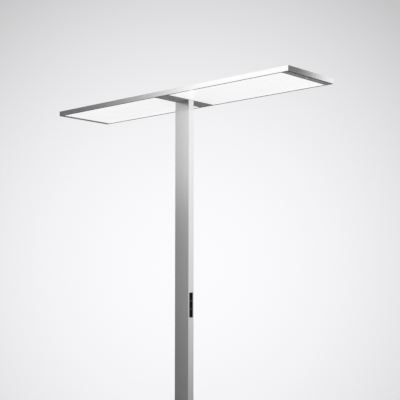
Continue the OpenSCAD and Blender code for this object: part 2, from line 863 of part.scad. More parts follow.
// Slots in the back plates, where those leads bend down
module lead_slots() {
    for (side = [-1, 1]) on_side(side) front_and_rear() for (y = [lead_y - bend_r, lead_y])
        translate([lead_x, y, back_z - past]) cylinder(d = lead_d + 1, h = back_t + 2 * past);
    for (side = [-1, 1]) on_side(side) front_and_rear()
        block([lead_x - lead_d / 2 - 0.5, lead_x + lead_d / 2 + 0.5], [lead_y - bend_r, lead_y],
              [back_z - past, led_z + past]);
}

module front_rail() {
    color(SILVER) frame_rail(head_l, half_w) rail_holes();
}

module rear_rail() {
    color(SILVER) rotate([0, 0, 180]) frame_rail(head_l, half_w) rotate([0, 0, 180]) rail_holes();
}

module end_rail_left() {
    color(SILVER) rotate([0, 0, -90]) frame_rail(head_w, half_l) rotate([0, 0, 90]) rail_holes();
}

module end_rail_right() {
    color(SILVER) rotate([0, 0, 90]) frame_rail(head_w, half_l) rotate([0, 0, -90]) rail_holes();
}

module corner_keys() {
    z = [key_z0, key_z1];
    color(STEEL) difference() {
        for (side = [-1, 1]) on_side(side) front_and_rear() {
            block([in_l - key_leg, in_l], [in_h - key_t, in_h], z);
            block([in_l - key_t, in_l], [in_h - key_leg, in_h], z);
        }
        at_key_screws() screw_hole(small_screw_d, key_t + key_bite);
    }
}

module key_screws() {
    color(STEEL) at_key_screws()
        screw(small_screw_d, key_t + key_bite - 0.2, small_head_d, small_head_h);
}

// The tongue of a strip fills the gap between the lips, and its core lies on them
module cross_member(tongue, core) {
    block(tongue, [fit_gap - lip_y, lip_y - fit_gap], [head_z, lip_z]);
    block(core, [fit_gap - in_h, in_h - fit_gap], [lip_z, lip_z + core_t]);
}

// The posts at both ends of a strip reach up to the rails' shelf
module posts(core) {
    front_and_rear() block(core, [in_h - fit_gap - post_l, in_h - fit_gap], [lip_z, shelf_z]);
}

module centre_bridge() {
    color(SATIN) difference() {
        union() {
            block([-bridge_x, bridge_x], [fit_gap - lip_y, lip_y - fit_gap], [head_z, lip_z]);
            block([-bridge_core_x, bridge_core_x], [fit_gap - in_h, in_h - fit_gap], [lip_z, shelf_z]);
        }
        at_head_screws() screw_hole(head_screw_d, head_screw_l, head_cap_d + 2 * fit_gap, head_sink);
        translate([0, 0, head_z - past]) cylinder(d = cable_bore_d, h = shelf_z - head_z + 2 * past);
        at_shelf_screws() screw_hole(small_screw_d, shelf_screw_l + past);
    }
}

module end_strip_left() {
    core = [-in_l + fit_gap, -left_x - seat_w - fit_gap];
    color(SATIN) difference() {
        union() {
            cross_member([-half_l + lip_w + left_gap, -left_x], core);
            posts(core);
        }
        at_shelf_screws() screw_hole(small_screw_d, shelf_screw_l + past);
    }
}

module sensor_strip() {
    core = [right_x + seat_w + fit_gap, right_tongue_x];
    color(SATIN) difference() {
        union() {
            cross_member([right_x, right_tongue_x], core);
            posts(core);
        }
        at_shelf_screws() screw_hole(small_screw_d, shelf_screw_l + past);
        translate([sensor_x, 0, head_z - past]) cylinder(d = lens_d + 2 * fit_gap, h = lip_t + core_t + 2 * past);
    }
}

module shelf_screws() {
    color(STEEL) {
        at_shelf_screws() screw(small_screw_d, shelf_screw_l, small_head_d, small_head_h);
        on_side(-1) at_back_screws(left_x)
            screw(small_screw_d, back_t + shelf_t, small_head_d, small_head_h);
        at_back_screws(right_x)
            screw(small_screw_d, back_t + shelf_t, small_head_d, small_head_h);
    }
}

// ---------- head: light ----------

// The panel from the bridge's seat to the seat of the strip whose inner edge is at edge_x
module diffuser(edge_x) {
    color(OPAL) block([bridge_x - seat_w + fit_gap, edge_x + seat_w - fit_gap],
                      [fit_gap - in_h, in_h - fit_gap], [lip_z, guide_z]);
}

module diffuser_left() {
    on_side(-1) diffuser(left_x);
}

module diffuser_right() {
    on_side(1) diffuser(right_x);
}

module guide_sheet(edge_x, z0, z1) {
    block([guide_x, edge_x + seat_w - fit_gap], [-guide_y, guide_y], [z0, z1]);
}

module light_guide_left() {
    color(CLEAR) on_side(-1) guide_sheet(left_x, guide_z, reflector_z);
}

module light_guide_right() {
    color(CLEAR) on_side(1) guide_sheet(right_x, guide_z, reflector_z);
}

module reflectors() {
    color(WHITE) {
        on_side(-1) guide_sheet(left_x, reflector_z, reflector_z + reflector_t);
        on_side(1) guide_sheet(right_x, reflector_z, reflector_z + reflector_t);
    }
}

// A strip of diodes along the front or rear edge of a light guide, with its connector
module edge_strip(edge_x) {
    x0 = lead_x - plug_l / 2;
    x1 = edge_x + seat_w - fit_gap;
    count = floor((x1 - guide_x) / edge_pitch);
    start = guide_x + (x1 - guide_x - (count - 1) * edge_pitch) / 2;
    mid_z = guide_z + guide_t / 2;
    block([x0, x1], [edge_y0, edge_y1], [guide_z, shelf_z]);
    block([x0, x0 + plug_l], [edge_y0 - plug_d, edge_y0 + board_t / 2], [guide_z, shelf_z - air]);
    for (i = [0:count - 1])
        block([start + i * edge_pitch - 1.5, start + i * edge_pitch + 1.5],
              [edge_y0 - led_t, edge_y0 + board_t / 2], [mid_z - 1.5, mid_z + 1.5]);
}

module edge_leds() {
    color(LED) front_and_rear() {
        on_side(-1) edge_strip(left_x);
        on_side(1) edge_strip(right_x);
    }
}

function back_end(edge_x) = min(edge_x, in_l - key_leg) - air;

module at_back_screws(edge_x) {
    for (x = [back_x + 30, (back_x + back_end(edge_x)) / 2, back_end(edge_x) - 12], sy = [-1, 1])
        translate([x, sy * screw_y, led_z]) children();
}

// The plate behind a reflector lies on the rails' shelf, and the leads go down through it
module back_plate(edge_x) {
    difference() {
        block([back_x, back_end(edge_x)], [fit_gap - in_h, in_h - fit_gap], [back_z, led_z]);
        lead_slots();
        at_back_screws(edge_x) screw_hole(small_screw_d, back_t + shelf_t);
    }
}

module back_plate_left() {
    color(SATIN) on_side(-1) back_plate(left_x);
}

module back_plate_right() {
    color(SATIN) on_side(1) back_plate(right_x);
}

// A board with two rows of diodes that shine upwards, and a connector at its inner end
module uplight_board(mid_x) {
    half = uplight_l / 2 - uplight_margin;
    count = floor((uplight_l - 4 * uplight_margin) / uplight_pitch);
    start = mid_x - (count - 1) * uplight_pitch / 2;
    top = led_z + board_t;
    block([mid_x - half, mid_x + half], [-uplight_w / 4 - 8, uplight_w / 4 + 8], [led_z, top]);
    for (i = [0:count - 1], sy = [-1, 1])
        translate([start + i * uplight_pitch, sy * uplight_w / 4, led_z + board_t / 2])
            block([-uplight_led / 2, uplight_led / 2], [-uplight_led / 2, uplight_led / 2],
                  [0, board_t / 2 + led_t]);
    block([mid_x - half, mid_x - half + 8], [-5, 5], [led_z + board_t / 2, top + board_plug_h]);
}

module uplight_boards() {
    color(LED) {
        on_side(-1) uplight_board(left_light_x);
        on_side(1) uplight_board(right_light_x);
    }
}

// The clear pane lies under the top cover and fills its window
module uplight_cover(mid_x) {
    color(CLEAR) translate([mid_x, 0, cover_z]) {
        translate([0, 0, -pane_t]) linear_extrude(pane_t)
            rounded_rect(uplight_l + 2 * uplight_margin, uplight_w + 2 * uplight_margin, 6);
        linear_extrude(pane_rise)
            rounded_rect(uplight_l - 2 * fit_gap, uplight_w - 2 * fit_gap, 4 - fit_gap);
    }
}

module uplight_cover_left() {
    on_side(-1) uplight_cover(left_light_x);
}

module uplight_cover_right() {
    on_side(1) uplight_cover(right_light_x);
}

module cover_screw_holes() {
    at_cover_screws() screw_hole(
        small_screw_d, cover_screw_l + past, small_head_d + 2 * fit_gap, cover_head_sink
    );
}

module side_cover(mid_x) {
    difference() {
        block([mid_cover_w / 2 + fit_gap / 2, in_l - fit_gap], [fit_gap - in_h, in_h - fit_gap],
              [cover_z, total_h]);
        translate([mid_x, 0, cover_z - past]) linear_extrude(cover_t + 2 * past)
            rounded_rect(uplight_l, uplight_w, 4);
    }
}

module top_cover_left() {
    color(SILVER) difference() {
        on_side(-1) side_cover(left_light_x);
        cover_screw_holes();
    }
}

module top_cover_right() {
    color(SILVER) difference() {
        on_side(1) side_cover(right_light_x);
        cover_screw_holes();
    }
}

module top_cover_centre() {
    x = mid_cover_w / 2 - fit_gap / 2;
    color(SILVER) difference() {
        block([-x, x], [fit_gap - in_h, in_h - fit_gap], [cover_z, total_h]);
        cover_screw_holes();
    }
}

module cover_screws() {
    color(STEEL) at_cover_screws()
        screw(small_screw_d, cover_screw_l, small_head_d, cover_head_sink - 0.1);
}

// ---------- head: wiring and sensor ----------

module terminal_block() {
    color(WHITE) block([-term_x, term_x], [-term_y, term_y], [shelf_z, shelf_z + term_h]);
}

// Four leads down to the edge strips and two to the upward lights, all along the back plates
module head_leads() {
    color(RUBBER) {
        for (sx = [-1, 1], sy = [-1, 1])
            wire([
                [sx * term_x, sy * lead_row, lead_z], [sx * lead_x, sy * lead_row, lead_z],
                [sx * lead_x, sy * lead_y, lead_z], [sx * lead_x, sy * lead_y, shelf_z - air]
            ], lead_d, bend_r);
        for (p = [[-1, left_light_x], [1, right_light_x]])
            wire([
                [p[0] * term_x, 0, lead_z],
                [p[0] * (p[1] - uplight_l / 2 + uplight_margin), 0, lead_z]
            ], lead_d, bend_r);
    }
}

// The lens: a dome below the strip, its barrel in the strip's hole and a flange on top
module sensor_lens() {
    dome_r = (lens_d * lens_d / 4 + lens_dome * lens_dome) / (2 * lens_dome);
    color(OPAL) translate([sensor_x, 0, head_z]) {
        intersection() {
            translate([0, 0, dome_r - lens_dome]) sphere(r = dome_r, $fn = 96);
            translate([0, 0, -lens_dome]) cylinder(d = lens_d, h = lens_dome + lip_t);
        }
        translate([0, 0, air]) cylinder(d = lens_d, h = lip_t + core_t - air);
        translate([0, 0, lip_t + core_t]) cylinder(d = lens_d + 2, h = lens_flange_t);
    }
}

// The sensor's board stands over the lens on a foot at each end
module sensor_board() {
    z0 = lip_z + core_t;
    z1 = z0 + lens_flange_t + fit_gap;
    x = [sensor_x - sensor_board_w / 2, sensor_x + sensor_board_w / 2];
    color(GREEN) {
        block(x, [-sensor_board_l / 2, sensor_board_l / 2], [z1, z1 + board_t]);
        front_and_rear() block(x, [sensor_board_l / 2 - 3, sensor_board_l / 2], [z0, z1 + board_t / 2]);
        block([sensor_lead_x - sensor_plug / 2, sensor_lead_x + sensor_plug / 2],
              [-sensor_plug / 2, sensor_plug / 2], [z1 + board_t / 2, sensor_plug_z]);
    }
}

// From the terminal block between the other leads, beside the upward light and to the sensor
module sensor_lead() {
    x0 = back_x + 2 * bend_r + lead_d;
    x1 = back_end(right_x) - lead_d;
    color(RUBBER) wire([
        [term_x, lead_row / 2, lead_z], [x0, lead_row / 2, lead_z], [x0, sensor_row, lead_z],
        [x1, sensor_row, lead_z], [x1, 0, lead_z], [sensor_lead_x, 0, lead_z],
        [sensor_lead_x, 0, sensor_plug_z]
    ], lead_d, bend_r);
}

// ---------- the pieces, one node each ----------

base_plate();
base_glides();
foot_block();
foot_screws();
mast_profile();
mast_head_block();
wall_screws();
head_screws();
inlet_body();
inlet_pins();
inlet_screws();
driver_case();
driver_lid();
driver_board();
driver_terminals();
driver_screws();
mains_wires();
mast_cable();
control_wire();
keypad_bezel();
keypad_board();
keypad_screws();
key_switches();
button_up();
button_power();
button_down();
plunger_up();
plunger_power();
plunger_down();
front_rail();
rear_rail();
end_rail_left();
end_rail_right();
corner_keys();
key_screws();
centre_bridge();
end_strip_left();
sensor_strip();
shelf_screws();
diffuser_left();
diffuser_right();
light_guide_left();
light_guide_right();
reflectors();
edge_leds();
back_plate_left();
back_plate_right();
uplight_boards();
uplight_cover_left();
uplight_cover_right();
top_cover_left();
top_cover_right();
top_cover_centre();
cover_screws();
terminal_block();
head_leads();
sensor_lens();
sensor_board();
sensor_lead();
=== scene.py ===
"""Office floor lamp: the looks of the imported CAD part, laid out as a Blender add-on and run as a script."""

import math

import bmesh
import bpy
import numpy as np
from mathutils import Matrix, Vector


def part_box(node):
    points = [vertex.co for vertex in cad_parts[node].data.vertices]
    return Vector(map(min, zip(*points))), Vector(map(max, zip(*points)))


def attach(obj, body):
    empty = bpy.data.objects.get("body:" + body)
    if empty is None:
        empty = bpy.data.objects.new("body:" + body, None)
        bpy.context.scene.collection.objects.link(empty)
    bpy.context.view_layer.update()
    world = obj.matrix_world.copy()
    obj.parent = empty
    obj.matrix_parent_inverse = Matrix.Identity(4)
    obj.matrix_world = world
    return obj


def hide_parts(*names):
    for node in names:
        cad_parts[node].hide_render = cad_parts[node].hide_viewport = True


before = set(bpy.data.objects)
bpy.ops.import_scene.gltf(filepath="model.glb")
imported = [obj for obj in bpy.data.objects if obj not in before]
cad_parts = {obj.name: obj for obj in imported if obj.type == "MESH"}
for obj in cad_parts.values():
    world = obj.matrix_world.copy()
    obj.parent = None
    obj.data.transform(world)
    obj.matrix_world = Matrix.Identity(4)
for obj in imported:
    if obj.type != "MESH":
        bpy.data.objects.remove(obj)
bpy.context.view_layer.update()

bl_info = {
    "name": "Office floor lamp",
    "version": (1, 0, 0),
    "blender": (4, 5, 0),
    "location": "3D View > Sidebar > Floor lamp",
    "description": "Finishes, softened pieces and a pale studio for an office floor lamp",
    "category": "Object",
}

MM = 0.001
HEAD_LOW, HEAD_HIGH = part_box("front_rail")[0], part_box("rear_rail")[1]
HEAD_LENGTH = HEAD_HIGH.x - HEAD_LOW.x
HEAD_WIDTH = HEAD_HIGH.y - HEAD_LOW.y
HEAD_HEIGHT = HEAD_HIGH.z - HEAD_LOW.z
ARC_STEPS = 6


# ---- surfaces ----


def rounded_ring(corners, radii):
    """Closed outline with a quarter circle at each square corner.

    Each corner P has a unit step a in from the corner before and a unit step b out to the next. For t from 0 to a
    quarter turn, the arc is P - a r (1 - sin t) + b r (1 - cos t), which is right for inward and outward corners alike.
    """
    corners = np.asarray(corners, float)
    back = corners - np.roll(corners, 1, axis=0)
    ahead = np.roll(corners, -1, axis=0) - corners
    a = (back / np.linalg.norm(back, axis=1, keepdims=True))[:, None, :]
    b = (ahead / np.linalg.norm(ahead, axis=1, keepdims=True))[:, None, :]
    r = np.broadcast_to(np.asarray(radii, float), len(corners))[:, None, None]
    t = np.linspace(0, math.pi / 2, ARC_STEPS)[None, :, None]
    arcs = corners[:, None, :] - a * r * (1 - np.sin(t)) + b * r * (1 - np.cos(t))
    return arcs.reshape(-1, 2)


def rectangle_ring(width, height, radius):
    """Rounded rectangle about the origin, run anticlockwise."""
    w, h = width / 2, height / 2
    return rounded_ring([(w, -h), (w, h), (-w, h), (-w, -h)], radius)


def tube_faces(rows, ring):
    """Four-sided faces between neighbouring rows of a closed ring that is carried along a path."""
    j, i = np.meshgrid(np.arange(rows - 1), np.arange(ring), indexing="ij")
    n = (i + 1) % ring
    quads = np.stack([j * ring + i, j * ring + n, (j + 1) * ring + n, (j + 1) * ring + i], axis=-1)
    return quads.reshape(-1, 4).tolist()


def fan_faces(start, ring, pole):
    """Triangles that close a ring on one point."""
    i = np.arange(ring)
    return np.stack([start + i, start + (i + 1) % ring, np.full(ring, pole)], axis=-1).tolist()


def lathe(profile, centre, turns=48):
    """A profile of (radius, height) carried round the vertical through centre, closed on the axis at both ends.

    Point (i, j) is centre + (r_i cos t_j, r_i sin t_j, z_i), with t_j going once round.
    """
    profile = np.asarray(profile, float)
    t = np.linspace(0, 2 * math.pi, turns, endpoint=False)
    r, z = profile[1:-1, :1], profile[1:-1, 1:]
    body = np.stack([r * np.cos(t), r * np.sin(t), z + 0 * t], axis=-1).reshape(-1, 3)
    poles = np.array([[0, 0, profile[0, 1]], [0, 0, profile[-1, 1]]])
    points = np.vstack([body, poles]) + np.asarray(centre, float)
    rows = len(profile) - 2
    faces = tube_faces(rows, turns)
    faces += [face[::-1] for face in fan_faces(0, turns, rows * turns)]
    faces += fan_faces((rows - 1) * turns, turns, rows * turns + 1)
    return points, faces


def link_piece(name, mesh, material, smooth):
    """Puts a mesh in the scene as an object at the origin, shaded smooth up to that angle in degrees."""
    mesh.shade_smooth()
    mesh.set_sharp_from_angle(angle=math.radians(smooth))
    mesh.materials.append(material)
    piece = bpy.data.objects.new(name, mesh)
    bpy.context.scene.collection.objects.link(piece)
    return piece


def make_piece(name, points, faces, material, smooth=30):
    """An object from points and faces, with its place in its mesh."""
    mesh = bpy.data.meshes.new(name)
    mesh.from_pydata(np.asarray(points, float).tolist(), [], faces)
    mesh.validate()
    return link_piece(name, mesh, material, smooth)


def stand_in(piece, node, body):
    """Lets a piece stand for a CAD node, which it hides, and move with its body."""
    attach(piece, body)
    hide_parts(node)


def softened(node, name, width, material):
    """A merged copy of a CAD node with its edges rounded to width, in the node's place."""
    work = bmesh.new()
    work.from_mesh(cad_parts[node].data)
    bmesh.ops.remove_doubles(work, verts=work.verts, dist=0.001 * MM)
    flat = math.radians(1)
    bmesh.ops.dissolve_limit(work, angle_limit=flat, verts=work.verts, edges=work.edges, delimit={"NORMAL"})
    bmesh.ops.recalc_face_normals(work, faces=work.faces)
    mesh = bpy.data.meshes.new(name)
    work.to_mesh(mesh)
    work.free()
    piece = link_piece(name, mesh, material, 35)
    bevel = piece.modifiers.new("Softened edges", "BEVEL")
    bevel.width = width
    bevel.segments = 2
    bevel.limit_method = "ANGLE"
    bevel.angle_limit = math.radians(40)
    bevel.use_clamp_overlap = True
    bevel.harden_normals = True
    stand_in(piece, node, "lamp")


def dress(material, *nodes):
    """Gives CAD nodes a material."""
    for node in nodes:
        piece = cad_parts[node]
        if not piece.material_slots:
            piece.data.materials.append(material)
        for slot in piece.material_slots:
            slot.material = material


# ---- node building ----

# how far apart nodes stand in the node editor
NODE_STEP = (220, 320)


def arrange(tree):
    """Lays a tree's nodes out in columns, each node to the left of all that it feeds."""
    columns = dict.fromkeys(tree.nodes.keys(), 0)
    for _ in columns:
        for link in tree.links:
            feeder, fed = link.from_node.name, link.to_node.name
            columns[feeder] = max(columns[feeder], columns[fed] + 1)
    filled = {}
    for node in tree.nodes:
        column = columns[node.name]
        filled[column] = filled.get(column, 0) + 1
        node.location = (-NODE_STEP[0] * column, -NODE_STEP[1] * filled[column])


def once(build):
    """Builds a material or an effect once for each set of values, and lays out its nodes."""
    made = {}

    def get(*key):
        if key not in made:
            made[key] = build(*key)
            arrange(getattr(made[key], "node_tree", made[key]))
        return made[key]

    return get


def feed(tree, socket, value):
    """Links a socket to an input, or sets the input to a number or colour."""
    if isinstance(value, bpy.types.NodeSocket):
        tree.links.new(value, socket)
    else:
        socket.default_value = value


def join(tree, node, **values):
    """Feeds a node's inputs by name, with _ for a space."""
    for name, value in values.items():
        feed(tree, node.inputs[name.replace("_", " ")], value)


def put(tree, kind, **values):
    """Adds a shader node, sets its settings and feeds its inputs, all by name."""
    node = tree.nodes.new("ShaderNode" + kind)
    for name, value in values.items():
        if name in node.bl_rna.properties:
            setattr(node, name, value)
        else:
            join(tree, node, **{name: value})
    return node


def cleared(holder):
    """The node tree of a material or the world, switched on and emptied."""
    holder.use_nodes = True
    holder.node_tree.nodes.clear()
    return holder.node_tree


def maths(tree, operation, *values, clamp=False):
    """A Math node on one to three numbers or sockets."""
    node = put(tree, "Math", operation=operation, use_clamp=clamp)
    for socket, value in zip(node.inputs, values):
        feed(tree, socket, value)
    return node.outputs[0]


def vector_maths(tree, operation, a, b):
    """A Vector Math node on two vectors, with its number or vector as the case may be."""
    node = put(tree, "VectorMath", operation=operation)
    feed(tree, node.inputs[0], a)
    feed(tree, node.inputs[1], b)
    return node.outputs["Value" if operation in ("DOT_PRODUCT", "LENGTH") else "Vector"]


def split(tree, vector):
    """A vector's X, Y and Z."""
    return put(tree, "SeparateXYZ", Vector=vector).outputs


def noise(tree, vector, scale, detail=2.0, roughness=0.5):
    """Soft noise between 0 and 1."""
    node = put(tree, "TexNoise", Vector=vector, Scale=scale, Detail=detail, Roughness=roughness)
    return node.outputs["Fac"]


def blend_colours(tree, factor, a, b, mode="MIX"):
    """Two colours mixed by a factor. The Mix node's inputs 6 and 7 are its colours."""
    node = put(tree, "Mix", data_type="RGBA", blend_type=mode, Factor=factor)
    feed(tree, node.inputs[6], a)
    feed(tree, node.inputs[7], b)
    return node.outputs[2]


def shaded(tree, colour, tone):
    """A plain colour times a tone that changes over the surface."""
    grey = put(tree, "CombineColor", Red=tone, Green=tone, Blue=tone)
    return blend_colours(tree, 1.0, (*colour, 1.0), grey.outputs[0], "MULTIPLY")


def chosen(tree, factor, first, second):
    """Two shaders mixed by a factor."""
    mix = put(tree, "MixShader")
    for socket, value in zip(mix.inputs, (factor, first, second)):
        feed(tree, socket, value)
    return mix.outputs[0]


def curve(tree, value, stops):
    """Straight lines through stops (position, level), divided by their highest level, and that level."""
    positions, levels = zip(*stops)
    start, length, peak = positions[0], positions[-1] - positions[0], max(levels)
    share = put(tree, "MapRange", Value=value, From_Min=start, From_Max=positions[-1])
    node = put(tree, "ValToRGB")
    points = node.color_ramp
    points.interpolation = "LINEAR"
    while len(points.elements) < len(stops):
        points.elements.new(1.0)
    for element, position, level in zip(points.elements, positions, levels):
        element.position = (position - start) / length
        element.color = (level / peak, level / peak, level / peak, 1.0)
    tree.links.new(share.outputs[0], node.inputs[0])
    return node.outputs[0], peak


# ---- effects shared by several materials ----


def effect(name, inputs, outputs):
    """A node group, its inputs and its end node.

    Inputs are given as name: default, with None for a vector that is always linked. Only an output called Normal is a
    vector.
    """
    tree = bpy.data.node_groups.new(name, "ShaderNodeTree")
    for label, default in inputs.items():
        kind = "Float" if isinstance(default, float) else "Vector"
        socket = tree.interface.new_socket(label, in_out="INPUT", socket_type="NodeSocket" + kind)
        if default is not None:
            socket.default_value = default
    for label in outputs:
        kind = "Vector" if label == "Normal" else "Float"
        tree.interface.new_socket(label, in_out="OUTPUT", socket_type="NodeSocket" + kind)
    start, end = tree.nodes.new("NodeGroupInput"), tree.nodes.new("NodeGroupOutput")
    return tree, start.outputs, end


def use(tree, group, **values):
    """Places a shared effect in a material, with its own values."""
    node = put(tree, "Group")
    node.node_tree = group
    join(tree, node, **values)
    return node.outputs


def swung(tree, value, amount, middle):
    """A noise turned about a middle: middle + 2 amount (value - 1/2)."""
    swing = maths(tree, "MULTIPLY", maths(tree, "SUBTRACT", value, 0.5), amount)
    return maths(tree, "MULTIPLY_ADD", swing, 2.0, middle)


def grain_ends(tree, given, end, uneven, fine, broad, rise):
    """Roughness swings with one noise, tone with the mean of a fine and a broad one, and the fine one is raised."""
    both = maths(tree, "MULTIPLY", maths(tree, "ADD", fine, broad), 0.5)
    bump = put(tree, "Bump", Strength=given["Depth"], Distance=rise, Height=fine)
    join(
        tree, end, Roughness=swung(tree, uneven, given["Spread"], given["Roughness"]),
        Tone=swung(tree, both, given["Tone"], 1.0), Normal=bump.outputs[0],
    )


@once
def drawn_grain():
    """Fine lines along the way the metal was drawn: noise stretched by Stretch, for roughness, tone and normal."""
    tree, given, end = effect(
        "Drawn grain",
        {
            "Vector": None, "Stretch": (4.0, 1600.0, 1600.0), "Roughness": 0.22, "Spread": 0.06, "Tone": 0.04,
            "Depth": 0.1,
        },
        ("Roughness", "Tone", "Normal"),
    )
    lines = vector_maths(tree, "MULTIPLY", given["Vector"], given["Stretch"])
    fine = noise(tree, lines, 1.0, 3.0, 0.6)
    bands = noise(tree, lines, 0.06)
    cloud = noise(tree, given["Vector"], 5.0)
    mixed = maths(tree, "ADD", maths(tree, "MULTIPLY", fine, 0.55), maths(tree, "MULTIPLY", cloud, 0.45))
    grain_ends(tree, given, end, mixed, fine, bands, 0.03 * MM)
    return tree


@once
def fine_texture():
    """The small even grain of powder coat, moulded plastic and rubber."""
    tree, given, end = effect(
        "Fine texture",
        {
            "Vector": None, "Scale": 900.0, "Roughness": 0.5, "Spread": 0.08, "Tone": 0.05, "Depth": 0.3,
            "Rise": 0.1 * MM,
        },
        ("Roughness", "Tone", "Normal"),
    )
    grain = noise(tree, given["Vector"], given["Scale"], 2.0, 0.55)
    cloud = noise(tree, given["Vector"], 14.0, 3.0)
    grain_ends(tree, given, end, cloud, grain, cloud, given["Rise"])
    return tree


@once
def handling():
    """Broad faint marks from hands, cloths and shoes, as a mask from 0 to Amount."""
    tree, given, end = effect("Handling", {"Vector": None, "Scale": 9.0, "Amount": 0.3}, ("Mask",))
    patches = noise(tree, given["Vector"], given["Scale"], 4.0, 0.6)
    spread = put(tree, "MapRange", Value=patches, From_Min=0.48, From_Max=0.72)
    join(tree, end, Mask=maths(tree, "MULTIPLY", spread.outputs[0], given["Amount"]))
    return tree


@once
def panel_glow():
    """How bright a lit sheet is at a point: 1 in the middle, and up to 1 + Gain along the edges that carry the LEDs."""
    tree, given, end = effect("Panel glow", {"Vector": None, "Half width": 0.13, "Gain": 0.05}, ("Level", "Height"))
    place = split(tree, given["Vector"])
    across = maths(tree, "DIVIDE", maths(tree, "ABSOLUTE", place["Y"]), given["Half width"])
    edge = maths(tree, "POWER", across, 4.0)
    cloud = noise(tree, given["Vector"], 6.0, 1.0)
    drift = maths(tree, "MULTIPLY_ADD", cloud, 0.02, 0.99)
    level = maths(tree, "MULTIPLY", drift, maths(tree, "MULTIPLY_ADD", edge, given["Gain"], 1.0))
    prism_turn = 2 * math.pi / (1.6 * MM)
    along, aside = (maths(tree, "SINE", maths(tree, "MULTIPLY", place[way], prism_turn)) for way in "XY")
    join(tree, end, Level=level, Height=maths(tree, "MULTIPLY", along, aside))
    return tree


@once
def board_tracks():
    """Copper tracks and pads on a circuit board: cell borders of square-cornered cells, as a mask."""
    tree, given, end = effect("Board tracks", {"Vector": None, "Scale": 220.0, "Width": 0.12}, ("Mask", "Pads"))
    first, second = (
        put(
            tree, "TexVoronoi", distance="CHEBYCHEV", feature=feature, Randomness=0.85,
            Vector=given["Vector"], Scale=given["Scale"],
        ).outputs["Distance"]
        for feature in ("F1", "F2")
    )
    border = maths(tree, "SUBTRACT", second, first)
    mask, pads = (maths(tree, "LESS_THAN", distance, given["Width"]) for distance in (border, first))
    join(tree, end, Mask=mask, Pads=pads)
    return tree


@once
def scuffs():
    """Hairline marks on a surface that shoes and cleaning reach: the crests of two long thin noises."""
    tree, given, end = effect("Scuffs", {"Vector": None, "Amount": 0.3}, ("Mask",))
    crests = []
    for stretch, least in (((12.0, 420.0, 420.0), 0.73), ((380.0, 16.0, 380.0), 0.74)):
        stretched = vector_maths(tree, "MULTIPLY", given["Vector"], stretch)
        crests.append(maths(tree, "GREATER_THAN", noise(tree, stretched, 1.0), least))
    marks = maths(tree, "MAXIMUM", *crests)
    where = noise(tree, given["Vector"], 8.0)
    join(tree, end, Mask=maths(tree, "MULTIPLY", maths(tree, "MULTIPLY", marks, where), given["Amount"]))
    return tree


@once
def painted_joint_shade():
    """Painted shade by a joint, strongest at Middle: 1 - Weight Depth exp(-((Distance - Middle) / Reach)^2)."""
    tree, given, end = effect(
        "Painted joint shade", {"Distance": 0.0, "Middle": 0.015, "Reach": 0.025, "Depth": 0.42, "Weight": 1.0}, ("Tone",)
    )
    share = maths(tree, "DIVIDE", maths(tree, "SUBTRACT", given["Distance"], given["Middle"]), given["Reach"])
    fall = maths(tree, "EXPONENT", maths(tree, "MULTIPLY", maths(tree, "MULTIPLY", share, share), -1.0))
    loss = maths(tree, "MULTIPLY", maths(tree, "MULTIPLY", fall, given["Depth"]), given["Weight"])
    join(tree, end, Tone=maths(tree, "SUBTRACT", 1.0, loss))
    return tree


# ---- materials ----


def new_material(name, **values):
    """A material with one Principled shader. Returns it with its tree, the shader and the Object coordinates."""
    material = bpy.data.materials.new(name)
    tree = cleared(material)
    shader = put(tree, "BsdfPrincipled", **values)
    put(tree, "OutputMaterial", Surface=shader.outputs[0])
    return material, tree, shader, put(tree, "TexCoord").outputs["Object"]


def coat(tree, shader, colour, grain, tone=None, roughness=None):
    """Feeds a shader a colour and the grain's tone, roughness and normal, unless a tone or roughness is given."""
    join(
        tree, shader, Base_Color=shaded(tree, colour, tone or grain["Tone"]),
        Roughness=roughness or grain["Roughness"], Normal=grain["Normal"],
    )


def textured(tree, here, **values):
    """The fine texture over a surface."""
    return use(tree, fine_texture(), Vector=here, **values)


STRETCH = {"x": (3.0, 1500.0, 1500.0), "y": (1500.0, 3.0, 1500.0), "z": (1500.0, 1500.0, 3.0)}


@once
def satin_aluminium(along, joint=None):
    """Fine satin anodised aluminium, drawn along one axis, with shade painted into its colour under a joint at a height
    on its wide faces.
    """
    look = bpy.context.scene.lamp_colours
    name = "satin aluminium, drawn along " + along + (", jointed" if joint else "")
    material, tree, shader, here = new_material(name, Metallic=1.0)
    grain = use(
        tree, drawn_grain(), Vector=here, Stretch=STRETCH[along],
        Roughness=look.satin_roughness, Spread=0.03, Tone=0.03, Depth=0.05,
    )
    marks = use(tree, handling(), Vector=here, Scale=7.0, Amount=0.04)
    tone = grain["Tone"]
    # painted shade: below the joint, the colour of the faces that look forward and back is darkened to stand in for a
    # contact shadow
    if joint:
        normal = put(tree, "NewGeometry").outputs["True Normal"]
        below = maths(tree, "SUBTRACT", joint, split(tree, here)["Z"])
        wide = maths(tree, "ABSOLUTE", split(tree, normal)["Y"])
        shade = use(tree, painted_joint_shade(), Distance=below, Weight=wide)
        tone = maths(tree, "MULTIPLY", tone, shade["Tone"])
    coat(tree, shader, look.aluminium, grain, tone, maths(tree, "ADD", grain["Roughness"], marks["Mask"]))
    return material


@once
def milled_aluminium(name="milled aluminium", level=0.66, roughness=0.36):
    """Plain milled or pressed aluminium, with the cutter's fine lines."""
    material, tree, shader, here = new_material(name, Metallic=1.0)
    grain = use(
        tree, drawn_grain(), Vector=here, Stretch=(700.0, 60.0, 700.0),
        Roughness=roughness, Spread=0.1, Tone=0.08, Depth=0.12,
    )
    coat(tree, shader, (level, level * 1.005, level * 1.015), grain)
    return material


@once
def strip_coat():
    """The satin silver-grey of the strips under the head."""
    material, tree, shader, here = new_material("satin grey metal coat", Metallic=0.12)
    grain = textured(tree, here, Scale=1400.0, Roughness=0.3, Spread=0.05, Tone=0.05, Depth=0.05, Rise=0.05 * MM)
    coat(tree, shader, bpy.context.scene.lamp_colours.strip, grain)
    return material


